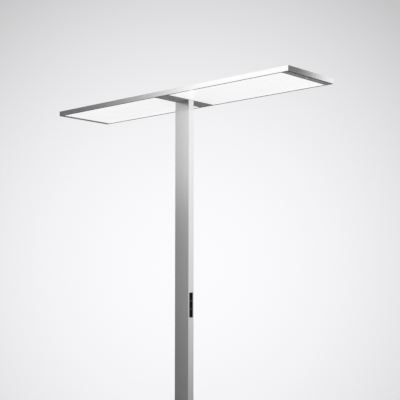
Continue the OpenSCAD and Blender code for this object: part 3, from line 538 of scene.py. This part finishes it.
@once
def base_coat():
    """Fine-textured silver powder coat, with faint scuffs on it."""
    look = bpy.context.scene.lamp_colours
    material, tree, shader, here = new_material("silver powder coat", Metallic=0.55)
    grain = textured(tree, here, Scale=1100.0, Roughness=0.42, Spread=0.08, Tone=0.07, Depth=0.35, Rise=0.12 * MM)
    marks = use(tree, scuffs(), Vector=here, Amount=0.35)
    dust = use(tree, handling(), Vector=here, Scale=11.0, Amount=0.12)
    colour = shaded(tree, look.base, grain["Tone"])
    colour = blend_colours(tree, marks["Mask"], colour, (0.3, 0.3, 0.31, 1.0))
    roughness = maths(tree, "ADD", grain["Roughness"], dust["Mask"])
    join(tree, shader, Base_Color=colour, Roughness=roughness, Normal=grain["Normal"])
    return material


@once
def moulded(name, colour, roughness, scale=1300.0, depth=0.2, specular=0.5):
    """Moulded plastic or rubber: fine spark texture, faint handling marks."""
    material, tree, shader, here = new_material(name, Specular_IOR_Level=specular)
    grain = textured(tree, here, Scale=scale, Roughness=roughness, Spread=0.06, Tone=0.12, Depth=depth, Rise=0.06 * MM)
    marks = use(tree, handling(), Vector=here, Scale=60.0, Amount=0.08)
    coat(tree, shader, colour, grain, roughness=maths(tree, "SUBTRACT", grain["Roughness"], marks["Mask"]))
    return material


@once
def lit_opal():
    """Opal acrylic with a fine prism pattern, lit from its two long edges."""
    look = bpy.context.scene.lamp_colours
    material, tree, shader, here = new_material(
        "lit opal acrylic", Roughness=0.4, Specular_IOR_Level=0.12, Emission_Strength=look.panel_glow
    )
    glow = use(tree, panel_glow(), Vector=here, Half_width=0.14, Gain=0.04)
    prisms = put(tree, "Bump", Strength=0.15, Distance=0.1 * MM, Height=glow["Height"])
    join(
        tree, shader, Base_Color=shaded(tree, look.opal, glow["Level"]),
        Emission_Color=shaded(tree, (1.0, 1.0, 1.0), glow["Level"]), Normal=prisms.outputs[0],
    )
    return material


@once
def frosted_lens():
    """Milky polyethylene of the sensor's lens, with fine rings of small facets."""
    material, tree, shader, here = new_material("milky lens plastic", Roughness=0.35)
    low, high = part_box("sensor_lens")
    spot = split(tree, vector_maths(tree, "SUBTRACT", here, tuple((low + high) / 2)))
    squares = (maths(tree, "POWER", spot[way], 2.0) for way in "XY")
    radius = maths(tree, "SQRT", maths(tree, "ADD", *squares))
    ring_turn = 2 * math.pi / (1.1 * MM)
    rings = maths(tree, "SINE", maths(tree, "MULTIPLY", radius, ring_turn))
    tone = maths(tree, "MULTIPLY_ADD", noise(tree, here, 700.0), 0.1, 0.95)
    bump = put(tree, "Bump", Strength=0.35, Distance=0.1 * MM, Height=rings)
    join(tree, shader, Base_Color=shaded(tree, (0.62, 0.63, 0.63), tone), Normal=bump.outputs[0])
    return material


@once
def clear_acrylic(name, roughness):
    """Clear cast acrylic, with faint cloudy handling."""
    material, tree, shader, here = new_material(
        name, Base_Color=(0.93, 0.95, 0.96, 1.0), Transmission_Weight=1.0, IOR=1.49
    )
    marks = use(tree, handling(), Vector=here, Scale=18.0, Amount=0.12)
    join(tree, shader, Roughness=maths(tree, "ADD", marks["Mask"], roughness))
    return material


@once
def plated_metal(name, colour, roughness):
    """Plated or bare small metal parts: fine swirl of tumbling and plating."""
    material, tree, shader, here = new_material(name, Metallic=1.0)
    grain = textured(tree, here, Scale=800.0, Roughness=roughness, Spread=0.14, Tone=0.1, Depth=0.15, Rise=0.05 * MM)
    coat(tree, shader, colour, grain)
    return material


@once
def printed_board(name, mask, copper, scale):
    """Solder mask over copper tracks, with bare pads."""
    material, tree, shader, here = new_material(name)
    tracks = use(tree, board_tracks(), Vector=here, Scale=scale, Width=0.1)
    grain = textured(tree, here, Scale=1500.0, Roughness=0.36, Tone=0.06)
    colour = shaded(tree, mask, grain["Tone"])
    colour = blend_colours(tree, tracks["Mask"], colour, (*copper, 1.0))
    colour = blend_colours(tree, tracks["Pads"], colour, (0.72, 0.72, 0.7, 1.0))
    raised = put(tree, "Bump", Strength=0.4, Distance=0.04 * MM, Height=tracks["Mask"])
    join(tree, shader, Base_Color=colour, Roughness=grain["Roughness"], Normal=raised.outputs[0])
    return material


def green_board():
    return printed_board("green circuit board", (0.06, 0.24, 0.14), (0.1, 0.34, 0.2), 240.0)


def white_board(name, scale):
    return printed_board(name, (0.9, 0.9, 0.87), (0.84, 0.83, 0.78), scale)


def black_plastic():
    return moulded("satin black plastic", tuple(bpy.context.scene.lamp_colours.bezel), 0.42)


def cable_sheath():
    return moulded("black cable sheath", (0.04, 0.04, 0.042), 0.6, 800.0, 0.3)


# ---- sizes and colours that a user may change ----


def colour_property(name, description, default):
    return bpy.props.FloatVectorProperty(
        name=name, description=description, subtype="COLOR", size=3, min=0.0, max=1.0, default=default
    )


def number_property(name, description, default, low, high, **kind):
    return bpy.props.FloatProperty(name=name, description=description, min=low, max=high, default=default, **kind)


def length_property(name, description, default, low=0.0, high=0.05):
    return number_property(name, description, default, low, high, subtype="DISTANCE", unit="LENGTH", precision=5)


class LampSizes(bpy.types.PropertyGroup):
    """Small sizes of the pieces that are made here."""

    rail_round: length_property("Rail rounding", "Rounding of the rails' outer edges", 0.25 * MM, 0.1 * MM, 1 * MM)
    lip_round: length_property("Lip rounding", "Rounding of the rails' inner edges", 0.25 * MM, 0.05 * MM, 0.5 * MM)
    mitre_gap: length_property("Mitre gap", "Hairline left open at each mitred corner", 0.05 * MM, 0.0, 0.3 * MM)
    rail_wall: length_property("Rail wall", "Thickness of the rails' outer wall", 2 * MM)
    lip_width: length_property("Lip width", "Width of the lip round the underside, from the outer face", 7 * MM)
    shelf_width: length_property("Shelf width", "Width of the rails' shelf and top ledge, from the outer face", 9 * MM)
    lip_thickness: length_property("Lip thickness", "Thickness of the rails' lip and shelves", 1.2 * MM)
    shelf_height: length_property("Shelf height", "Underside of the shelf, above the lip's underside", 8.7 * MM)
    ledge_height: length_property("Ledge height", "Underside of the cover's ledge, above the lip's", 17.3 * MM)
    button_crown: length_property(
        "Button crown", "Height from a button's shoulder to its highest point", 0.45 * MM, 0.1 * MM, 0.8 * MM
    )
    button_dish: length_property("Button dish", "Depth of the hollow for the fingertip", 0.18 * MM, 0.0, 0.4 * MM)
    edge_soft: length_property("Edge softness", "Rounding of moulded and cut edges", 0.25 * MM, 0.05 * MM, 1 * MM)


class LampColours(bpy.types.PropertyGroup):
    """Colours and finishes of the lamp."""

    aluminium: colour_property("Satin aluminium", "Anodised mast and frame", (0.755, 0.755, 0.757))
    strip: colour_property("Strips", "Grey strips under the head", (0.35, 0.352, 0.356))
    base: colour_property("Base", "Powder coat of the base plate", (0.66, 0.665, 0.67))
    bezel: colour_property("Keypad", "Black frame of the keypad", (0.02, 0.02, 0.021))
    button: colour_property("Buttons", "Black of the push buttons", (0.003, 0.003, 0.0032))
    opal: colour_property("Opal panels", "Acrylic of the light panels", (0.87, 0.87, 0.87))
    satin_roughness: number_property("Satin roughness", "Roughness of the anodised aluminium", 0.18, 0.05, 0.6)
    panel_glow: number_property("Panel glow", "Light given off by the opal panels", 0.368, 0.0, 1.0)


class StudioSettings(bpy.types.PropertyGroup):
    """Camera, background and lights."""

    camera_place: bpy.props.FloatVectorProperty(
        name="Camera", description="Where the camera stands", subtype="TRANSLATION", unit="LENGTH",
        default=(2.4185, -2.5574, 1.204),
    )
    camera_yaw: bpy.props.FloatProperty(
        name="Turn", description="Camera's turn about the vertical", subtype="ANGLE", default=math.radians(42.383)
    )
    camera_pitch: bpy.props.FloatProperty(
        name="Tilt", description="Camera's tilt above the horizon", subtype="ANGLE", default=math.radians(5.284)
    )
    focal_length: number_property("Lens", "Focal length in millimetres", 79.43, 10, 300)
    fill_level: number_property("Fill", "Even light from all round", 0.72, 0.0, 2.0)
    top_light: number_property("Top light", "Power of the soft light above", 28.0, 0.0, 500.0, unit="POWER")
    backdrop: number_property("Backdrop", "Brightest level of the background", 0.96, 0.0, 1.0)
    floor_radius: length_property("Floor", "Radius out to which the floor is solid", 1.3, 0.5, 5.0)
    floor_fade: length_property("Floor fade", "Radius at which the floor has faded out", 2.8, 1.0, 8.0)


# ---- the studio ----

PICTURE = 400.0
SENSOR_WIDTH = 36.0
# where in the picture the background is brightest
GLOW_PIXEL = (190.0, 265.0)
# the background loses FALL_DEPTH by FALL_ANGLE from there, along a curve of that power
FALL_ANGLE, FALL_POWER, FALL_DEPTH = math.radians(20.5), 2.2, 0.383
# beyond the picture it turns from one plain grey to another between two angles
ROUND_ANGLES, ROUND_LEVELS = (math.radians(21.5), math.radians(34)), (0.56, 0.74)
BACKDROP_TINT = (1.0, 0.999, 1.016)
FLOOR_TURNS, FLOOR_RINGS = 96, 24


def glow_direction(studio):
    """Unit vector through GLOW_PIXEL: the camera's forward, right and up steps for that pixel, added."""
    reach = studio.focal_length / SENSOR_WIDTH * PICTURE
    yaw, pitch = studio.camera_yaw, studio.camera_pitch
    right = np.array([math.cos(yaw), math.sin(yaw), 0.0])
    level = np.array([-math.sin(yaw), math.cos(yaw), 0.0])
    rise = np.array([0.0, 0.0, 1.0])
    ahead = level * math.cos(pitch) + rise * math.sin(pitch)
    up = rise * math.cos(pitch) - level * math.sin(pitch)
    ray = reach * ahead + (GLOW_PIXEL[0] - PICTURE / 2) * right + (PICTURE / 2 - GLOW_PIXEL[1]) * up
    return ray / np.linalg.norm(ray)


def studio_world(studio):
    """Pale background for camera, glossy and transmission rays, and even light for everything else.

    The background falls off from its brightest direction as level - depth (angle / fall angle)^power, and is held at
    a plain pale grey further round.
    """
    world = bpy.data.worlds.new("Pale studio")
    bpy.context.scene.world = world
    tree = cleared(world)
    direction = put(tree, "TexCoord").outputs["Generated"]
    cosine = vector_maths(tree, "DOT_PRODUCT", direction, tuple(glow_direction(studio)))
    angle = maths(tree, "ARCCOSINE", maths(tree, "MINIMUM", cosine, 1.0))
    share = maths(tree, "DIVIDE", angle, FALL_ANGLE)
    drop = maths(tree, "MULTIPLY", maths(tree, "POWER", share, FALL_POWER), FALL_DEPTH)
    near = maths(tree, "SUBTRACT", studio.backdrop, drop)
    round_about = put(
        tree, "MapRange", interpolation_type="SMOOTHSTEP", Value=angle,
        From_Min=ROUND_ANGLES[0], From_Max=ROUND_ANGLES[1], To_Min=ROUND_LEVELS[0], To_Max=ROUND_LEVELS[1],
    )
    level = maths(tree, "MAXIMUM", near, round_about.outputs[0])
    seen = put(tree, "Background", Color=shaded(tree, BACKDROP_TINT, level))
    lit = put(tree, "Background", Color=(1.0, 1.0, 1.0, 1.0), Strength=studio.fill_level)
    path = put(tree, "LightPath").outputs
    rays = maths(tree, "ADD", path["Is Camera Ray"], path["Is Glossy Ray"])
    rays = maths(tree, "ADD", rays, path["Is Transmission Ray"], clamp=True)
    put(tree, "OutputWorld", Surface=chosen(tree, rays, lit.outputs[0], seen.outputs[0]))
    arrange(tree)


def studio_floor(studio):
    """A round floor under the lamp: rings of points r (cos t, sin t, 0), fading out between two radii."""
    t = np.linspace(0, 2 * math.pi, FLOOR_TURNS, endpoint=False)
    margin = 0.05
    r = np.linspace(margin, studio.floor_fade + margin, FLOOR_RINGS)[:, None]
    rings = np.stack([r * np.cos(t), r * np.sin(t), 0 * r * t], axis=-1).reshape(-1, 3)
    points = np.vstack([rings, [[0.0, 0.0, 0.0]]])
    faces = [face[::-1] for face in tube_faces(FLOOR_RINGS, FLOOR_TURNS)] + fan_faces(0, FLOOR_TURNS, len(rings))
    material, tree, shader, here = new_material("pale floor", Roughness=0.9, Specular_IOR_Level=0.0)
    grain = textured(tree, here, Scale=60.0, Tone=0.02)
    join(tree, shader, Base_Color=shaded(tree, (0.86, 0.86, 0.865), grain["Tone"]))
    away = vector_maths(tree, "LENGTH", here, (0.0, 0.0, 0.0))
    fade = put(
        tree, "MapRange", interpolation_type="SMOOTHSTEP", Value=away,
        From_Min=studio.floor_radius, From_Max=studio.floor_fade, To_Min=1.0, To_Max=0.0,
    )
    back = put(tree, "NewGeometry").outputs["Backfacing"]
    solid = maths(tree, "MULTIPLY", fade.outputs[0], maths(tree, "SUBTRACT", 1.0, back))
    # open under the base, a little inside its edges, so that its underside is lit
    inside = 4 * MM
    low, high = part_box("base_plate")
    spot = split(tree, here)
    beyond = []
    for axis in (0, 1):
        aside = maths(tree, "ABSOLUTE", maths(tree, "SUBTRACT", spot[axis], (low[axis] + high[axis]) / 2))
        beyond.append(maths(tree, "GREATER_THAN", aside, (high[axis] - low[axis]) / 2 - inside))
    solid = maths(tree, "MULTIPLY", solid, maths(tree, "MAXIMUM", *beyond))
    clear = put(tree, "BsdfTransparent")
    join(tree, tree.nodes["Material Output"], Surface=chosen(tree, solid, clear.outputs[0], shader.outputs[0]))
    arrange(tree)
    make_piece("studio_floor", points, faces, material)


def reflector_board(name, toward, distance, side, heights, across, upward, level):
    """An upright board that only polished metal sees: a flat patch of points centre + s side + h up.

    Its brightness is level times a curve of s times a curve of h, each a list of (metres, share).
    """
    toward, side, up = np.array([*toward, 0.0]), np.array([*side, 0.0]), np.array([0.0, 0.0, 1.0])
    s, h = np.meshgrid([across[0][0], across[-1][0]], heights)
    points = (toward * distance + s[..., None] * side + h[..., None] * up).reshape(-1, 3)
    faces = [[0, 1, 3, 2]] if np.cross(side, up) @ -toward > 0 else [[0, 2, 3, 1]]
    material = bpy.data.materials.new(name)
    tree = cleared(material)
    here = put(tree, "TexCoord").outputs["Object"]
    along = vector_maths(tree, "DOT_PRODUCT", here, tuple(side))
    sideways, peak = curve(tree, along, across)
    rising, top = curve(tree, split(tree, here)["Z"], upward)
    strength = maths(tree, "MULTIPLY", maths(tree, "MULTIPLY", sideways, rising), level * peak * top)
    shine = put(tree, "Emission", Strength=strength)
    clear = put(tree, "BsdfTransparent")
    back = put(tree, "NewGeometry").outputs["Backfacing"]
    put(tree, "OutputMaterial", Surface=chosen(tree, back, shine.outputs[0], clear.outputs[0]))
    arrange(tree)
    board = make_piece(name, points, faces, material)
    for ray in ("camera", "diffuse", "shadow", "transmission", "volume_scatter"):
        setattr(board, "visible_" + ray, False)


def studio_lights(studio):
    """One soft light above, and three boards for the metal to reflect."""
    lamp = bpy.data.lights.new("soft light above", "AREA")
    lamp.shape = "DISK"
    lamp.size = 3.0
    lamp.energy = studio.top_light
    light = bpy.data.objects.new("soft light above", lamp)
    light.location = (0.5, -0.6, 4.2)
    # turned towards the mast, 1 m above the floor
    light.rotation_euler = Vector((0.5, -0.6, 3.2)).to_track_quat("Z", "Y").to_euler()
    light.visible_camera = False
    light.visible_glossy = False
    bpy.context.scene.collection.objects.link(light)
    reflector_board(
        "board before the front", (-0.69, -0.72), 3.0, (0.72, -0.69), (-0.4, 3.4),
        [
            (-2.2, 0.2), (-0.66, 0.225), (-0.6, 0.241), (-0.543, 0.252), (-0.47, 0.296), (-0.4, 0.332), (-0.328, 0.387),
            (-0.255, 0.477), (-0.183, 0.555), (-0.111, 0.64), (-0.039, 0.885), (0.034, 1.13), (0.106, 1.39),
            (0.239, 1.87), (0.366, 2.02), (0.7, 1.85), (2.2, 1.8),
        ],
        [
            (0.0, 0.19), (0.361, 0.23), (0.795, 0.302), (1.085, 0.363), (1.376, 0.408), (1.51, 0.435), (1.657, 0.474),
            (1.806, 0.63), (1.955, 0.81), (2.104, 0.91), (2.254, 0.95), (2.45, 0.93), (2.53, 1.0), (3.4, 1.0),
        ],
        0.72,
    )
    reflector_board(
        "board beside the keypad", (0.604, 0.797), 0.75, (0.797, -0.604), (0.0, 2.6),
        [
            (-0.2, 1.16), (0.39, 1.16), (0.412, 1.15), (0.432, 1.08), (0.45, 0.97), (0.464, 0.85), (0.474, 0.73),
            (0.484, 0.56), (0.497, 0.37), (0.51, 0.25), (0.523, 0.2), (0.54, 0.195), (0.56, 0.215), (0.66, 0.215),
            (0.85, 0.55), (1.4, 0.7),
        ],
        [
            (0.0, 0.22), (0.4, 0.28), (0.64, 0.365), (0.82, 0.498), (0.92, 0.547), (1.02, 0.606), (1.12, 0.687),
            (1.41, 0.805), (1.61, 0.873), (1.8, 0.94), (2.0, 0.965), (2.04, 1.0), (2.6, 1.0),
        ],
        1.0,
    )
    reflector_board(
        "board beyond the head", (-0.674, 0.739), 1.5, (0.739, 0.674), (0.9, 1.9),
        [(-1.3, 1.0), (1.3, 1.0)], [(0.9, 1.0), (1.9, 1.0)], 0.02,
    )


class LAMP_OT_studio(bpy.types.Operator):
    """Makes the camera, the pale background, the floor and the lights"""

    bl_idname = "lamp.studio"
    bl_label = "Studio"

    def execute(self, context):
        studio = context.scene.lamp_studio
        camera = bpy.data.objects.new("camera", bpy.data.cameras.new("camera"))
        camera.data.sensor_width = SENSOR_WIDTH
        camera.data.lens = studio.focal_length
        camera.data.clip_end = 50.0
        camera.location = studio.camera_place
        camera.rotation_euler = (math.pi / 2 + studio.camera_pitch, 0.0, studio.camera_yaw)
        context.scene.collection.objects.link(camera)
        context.scene.camera = camera
        context.scene.view_settings.view_transform = "Standard"
        studio_world(studio)
        studio_floor(studio)
        studio_lights(studio)
        return {"FINISHED"}


# ---- the lamp's pieces ----

RAIL_ROWS = 9


def rail(node, length, offset, quarter, sizes, material):
    """One mitred rail: the frame's section carried along its side of the rectangle.

    A point of the section lies a metres in from the outer face and z up from the lip's underside. It is carried to
    x = u (length / 2 - a - gap / 2) for u from -1 to 1, which cuts both ends at 45 degrees, and then turned by
    quarter turns about the vertical.
    """
    wall, lip, reach, thick = sizes.rail_wall, sizes.lip_width, sizes.shelf_width, sizes.lip_thickness
    shelf, ledge, top = sizes.shelf_height, sizes.ledge_height, HEAD_HEIGHT
    corners = [
        (0, 0), (lip, 0), (lip, thick), (wall, thick),
        (wall, shelf), (reach, shelf), (reach, shelf + thick), (wall, shelf + thick),
        (wall, ledge), (reach, ledge), (reach, ledge + thick), (wall, ledge + thick),
        (wall, top), (0, top),
    ]
    big, lower, small = sizes.rail_round, 1.6 * sizes.lip_round, sizes.lip_round
    ring = rounded_ring(corners, [big, lower] + [small] * 11 + [big])
    u = np.linspace(-1, 1, RAIL_ROWS)[:, None]
    a, z = ring[None, :, 0], ring[None, :, 1]
    along = u * (length / 2 - a - sizes.mitre_gap / 2)
    turn = quarter * math.pi / 2
    way, inward = np.array([math.cos(turn), math.sin(turn)]), np.array([-math.sin(turn), math.cos(turn)])
    plan = along[..., None] * way + (a - offset)[..., None] * inward
    height = np.broadcast_to(z + HEAD_LOW.z, along.shape)[..., None]
    points = np.concatenate([plan, height], axis=-1).reshape(-1, 3)
    count = len(ring)
    last = (RAIL_ROWS - 1) * count
    faces = tube_faces(RAIL_ROWS, count) + [list(range(count))[::-1], list(range(last, last + count))]
    piece = make_piece(node + "_drawn", points, faces, material)
    # the broad faces keep their own normals right up to the small roundings
    even = piece.modifiers.new("Even faces", "WEIGHTED_NORMAL")
    even.mode = "FACE_AREA"
    even.weight = 100
    even.keep_sharp = True
    stand_in(piece, node, "lamp")


class LAMP_OT_frame_rails(bpy.types.Operator):
    """Makes the four mitred rails of the head with rounded edges"""

    bl_idname = "lamp.frame_rails"
    bl_label = "Frame rails"

    def execute(self, context):
        sides = ("front_rail", "end_rail_right", "rear_rail", "end_rail_left")
        for quarter, node in enumerate(sides):
            length, width, axis = (HEAD_WIDTH, HEAD_LENGTH, "y") if quarter % 2 else (HEAD_LENGTH, HEAD_WIDTH, "x")
            rail(node, length, width / 2, quarter, context.scene.lamp_sizes, satin_aluminium(axis))
        return {"FINISHED"}


class LAMP_OT_mast(bpy.types.Operator):
    """Finishes the mast and the blocks in its two ends"""

    bl_idname = "lamp.mast"
    bl_label = "Mast"

    def execute(self, context):
        # the mast's colour carries painted shade just under the head, on its front and back
        dress(satin_aluminium("z", HEAD_LOW.z), "mast_profile")
        dress(milled_aluminium(), "mast_head_block", "foot_block")
        return {"FINISHED"}


class LAMP_OT_light_panels(bpy.types.Operator):
    """Finishes the opal panels and the sheets and LED strips behind them"""

    bl_idname = "lamp.light_panels"
    bl_label = "Light panels"

    def execute(self, context):
        dress(lit_opal(), "diffuser_left", "diffuser_right")
        dress(clear_acrylic("clear light guide", 0.05), "light_guide_left", "light_guide_right")
        dress(moulded("white reflector sheet", (0.93, 0.93, 0.92), 0.6, 500.0, 0.1), "reflectors")
        dress(white_board("white LED strip", 260.0), "edge_leds")
        return {"FINISHED"}


class LAMP_OT_cross_strips(bpy.types.Operator):
    """Finishes the grey strips under the middle and both ends of the head"""

    bl_idname = "lamp.cross_strips"
    bl_label = "Cross strips"

    def execute(self, context):
        dress(strip_coat(), "centre_bridge", "end_strip_left", "sensor_strip")
        return {"FINISHED"}


class LAMP_OT_sensor(bpy.types.Operator):
    """Makes the sensor's lens and finishes its board and lead"""

    bl_idname = "lamp.sensor"
    bl_label = "Sensor"

    def execute(self, context):
        low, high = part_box("sensor_lens")
        face, dome, step, edge = HEAD_LOW.z, HEAD_LOW.z - low.z, 1 * MM, 0.15 * MM
        flange = (high.x - low.x) / 2
        barrel = flange - step
        t = np.linspace(0, 1, 14)
        # dome: its depth falls as 1 - t^2 from the middle to the barrel's edge
        cap = np.stack([barrel * t, face - dome * (1 - t**2)], axis=1)
        rest = [
            (barrel, face + 0.4 * MM), (barrel, high.z - step), (flange - edge, high.z - step),
            (flange, high.z - step + edge), (flange, high.z - edge), (flange - edge, high.z), (0, high.z),
        ]
        centre = ((low.x + high.x) / 2, (low.y + high.y) / 2, 0.0)
        points, faces = lathe(np.vstack([cap, rest]), centre)
        lens = make_piece("sensor_lens_moulded", points, faces, frosted_lens())
        stand_in(lens, "sensor_lens", "lamp")
        dress(green_board(), "sensor_board")
        dress(moulded("thin black lead", (0.03, 0.03, 0.032), 0.55, 900.0, 0.2), "sensor_lead", "head_leads")
        return {"FINISHED"}


def button_points(low, high, sizes):
    """A keypad button: rounded rectangles stacked outward along x, with a crowned and slightly dished cap.

    The cap is the outline scaled by rho from 1 to 0 towards the middle. Its height is
    shoulder + crown (1 - rho^4) - dish (1 - rho^2)^2, so it closes on one point.
    """
    width, height = high.y - low.y, high.z - low.z
    collar_front = low.x + 1.2 * MM
    collar_round, cap_round, inset, edge = 0.3 * MM, 0.8 * MM, 0.5 * MM, 0.35 * MM
    collar = rectangle_ring(width, height, collar_round)
    cap = rectangle_ring(width - 2 * inset, height - 2 * inset, cap_round)
    crown, dish = sizes.button_crown, sizes.button_dish
    shoulder = high.x - crown
    t = np.linspace(0, math.pi / 2, 5)[1:]
    rows = [(collar, low.x), (collar, collar_front), (cap, collar_front), (cap, shoulder - edge)]
    shrink = 1 - edge * (1 - np.cos(t)) / (0.5 * min(width, height))
    rows += [(cap * s, shoulder - edge * (1 - math.sin(v))) for s, v in zip(shrink, t)]
    rho = np.linspace(1, 0, 13)[1:-1]
    rise = shoulder + crown * (1 - rho**4) - dish * (1 - rho**2) ** 2
    rows += [(cap * shrink[-1] * p, x) for p, x in zip(rho, rise)]
    middle = np.array([0.0, (low.y + high.y) / 2, (low.z + high.z) / 2])
    count = len(collar)
    body = np.concatenate([np.column_stack([np.full(count, x), ring]) for ring, x in rows])
    points = np.vstack([body, [[shoulder + crown - dish, 0, 0]]]) + middle
    faces = tube_faces(len(rows), count) + [list(range(count))[::-1]]
    return points, faces + fan_faces((len(rows) - 1) * count, count, len(body))


class LAMP_OT_keypad(bpy.types.Operator):
    """Makes the three push buttons and the keypad's frame, and finishes what is behind them"""

    bl_idname = "lamp.keypad"
    bl_label = "Keypad"

    def execute(self, context):
        sizes, look = context.scene.lamp_sizes, context.scene.lamp_colours
        softened("keypad_bezel", "keypad_frame_moulded", sizes.edge_soft, black_plastic())
        caps = moulded("black button plastic", tuple(look.button), 0.55, 1500.0, 0.1, 0.05)
        white = moulded("white plunger plastic", (0.85, 0.85, 0.83), 0.5)
        for key in ("up", "power", "down"):
            node = "button_" + key
            points, faces = button_points(*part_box(node), sizes)
            button = make_piece(node + "_moulded", points, faces, caps, 40)
            stand_in(button, node, key + "_key")
            dress(white, "plunger_" + key)
        dress(black_plastic(), "key_switches")
        dress(green_board(), "keypad_board")
        return {"FINISHED"}


class LAMP_OT_base(bpy.types.Operator):
    """Finishes the base plate and its glides"""

    bl_idname = "lamp.base"
    bl_label = "Base"

    def execute(self, context):
        dress(base_coat(), "base_plate")
        dress(moulded("black glide rubber", (0.05, 0.05, 0.055), 0.75, 700.0, 0.4), "base_glides")
        return {"FINISHED"}


class LAMP_OT_top(bpy.types.Operator):
    """Finishes the top covers, the clear panes and the upward light under them"""

    bl_idname = "lamp.top"
    bl_label = "Top and upward light"

    def execute(self, context):
        dress(satin_aluminium("x"), "top_cover_left", "top_cover_right", "top_cover_centre")
        dress(clear_acrylic("clear pane", 0.02), "uplight_cover_left", "uplight_cover_right")
        dress(milled_aluminium("pressed aluminium sheet", 0.62, 0.4), "back_plate_left", "back_plate_right")
        dress(white_board("white LED board", 120.0), "uplight_boards")
        return {"FINISHED"}


class LAMP_OT_mains_inlet(bpy.types.Operator):
    """Makes the mains inlet's body and finishes its pins and wires"""

    bl_idname = "lamp.mains_inlet"
    bl_label = "Mains inlet"

    def execute(self, context):
        softened("inlet_body", "inlet_body_moulded", context.scene.lamp_sizes.edge_soft, black_plastic())
        dress(plated_metal("plain brass", (0.76, 0.62, 0.33), 0.28), "inlet_pins")
        dress(cable_sheath(), "mains_wires")
        return {"FINISHED"}


class LAMP_OT_inner_works(bpy.types.Operator):
    """Finishes the driver, the terminals and the cables inside the mast and head"""

    bl_idname = "lamp.inner_works"
    bl_label = "Inner works"

    def execute(self, context):
        dress(milled_aluminium("driver case aluminium", 0.7, 0.42), "driver_case", "driver_lid")
        dress(green_board(), "driver_board")
        dress(moulded("pale terminal plastic", (0.86, 0.86, 0.84), 0.45), "driver_terminals", "terminal_block")
        dress(cable_sheath(), "mast_cable", "control_wire")
        return {"FINISHED"}


class LAMP_OT_fasteners(bpy.types.Operator):
    """Finishes the screws and the corner keys"""

    bl_idname = "lamp.fasteners"
    bl_label = "Fasteners"

    def execute(self, context):
        screws = ("foot", "wall", "head", "inlet", "driver", "keypad", "key", "shelf", "cover")
        steel = plated_metal("zinc plated steel", (0.6, 0.61, 0.63), 0.32)
        dress(steel, *(place + "_screws" for place in screws))
        dress(milled_aluminium(), "corner_keys")
        return {"FINISHED"}


class LAMP_PT_panel(bpy.types.Panel):
    """Lists the lamp's steps and their settings"""

    bl_label = "Office floor lamp"
    bl_idname = "LAMP_PT_panel"
    bl_space_type = "VIEW_3D"
    bl_region_type = "UI"
    bl_category = "Floor lamp"

    def draw(self, context):
        layout = self.layout
        for operator in OPERATORS:
            layout.operator(operator.bl_idname)
        for group in (context.scene.lamp_sizes, context.scene.lamp_colours, context.scene.lamp_studio):
            column = layout.column()
            for name in group.__annotations__:
                column.prop(group, name)


# in the order in which they run
OPERATORS = (
    LAMP_OT_studio, LAMP_OT_frame_rails, LAMP_OT_mast, LAMP_OT_light_panels, LAMP_OT_cross_strips, LAMP_OT_sensor,
    LAMP_OT_keypad, LAMP_OT_base, LAMP_OT_top, LAMP_OT_mains_inlet, LAMP_OT_inner_works, LAMP_OT_fasteners,
)
CLASSES = (LampSizes, LampColours, StudioSettings) + OPERATORS + (LAMP_PT_panel,)


def register():
    for kind in CLASSES:
        bpy.utils.register_class(kind)
    bpy.types.Scene.lamp_sizes = bpy.props.PointerProperty(type=LampSizes)
    bpy.types.Scene.lamp_colours = bpy.props.PointerProperty(type=LampColours)
    bpy.types.Scene.lamp_studio = bpy.props.PointerProperty(type=StudioSettings)


def unregister():
    del bpy.types.Scene.lamp_studio
    del bpy.types.Scene.lamp_colours
    del bpy.types.Scene.lamp_sizes
    for kind in reversed(CLASSES):
        bpy.utils.unregister_class(kind)


def main():
    register()
    for operator in OPERATORS:
        getattr(bpy.ops.lamp, operator.bl_idname.split(".")[1])()


if __name__ == "__main__":
    main()
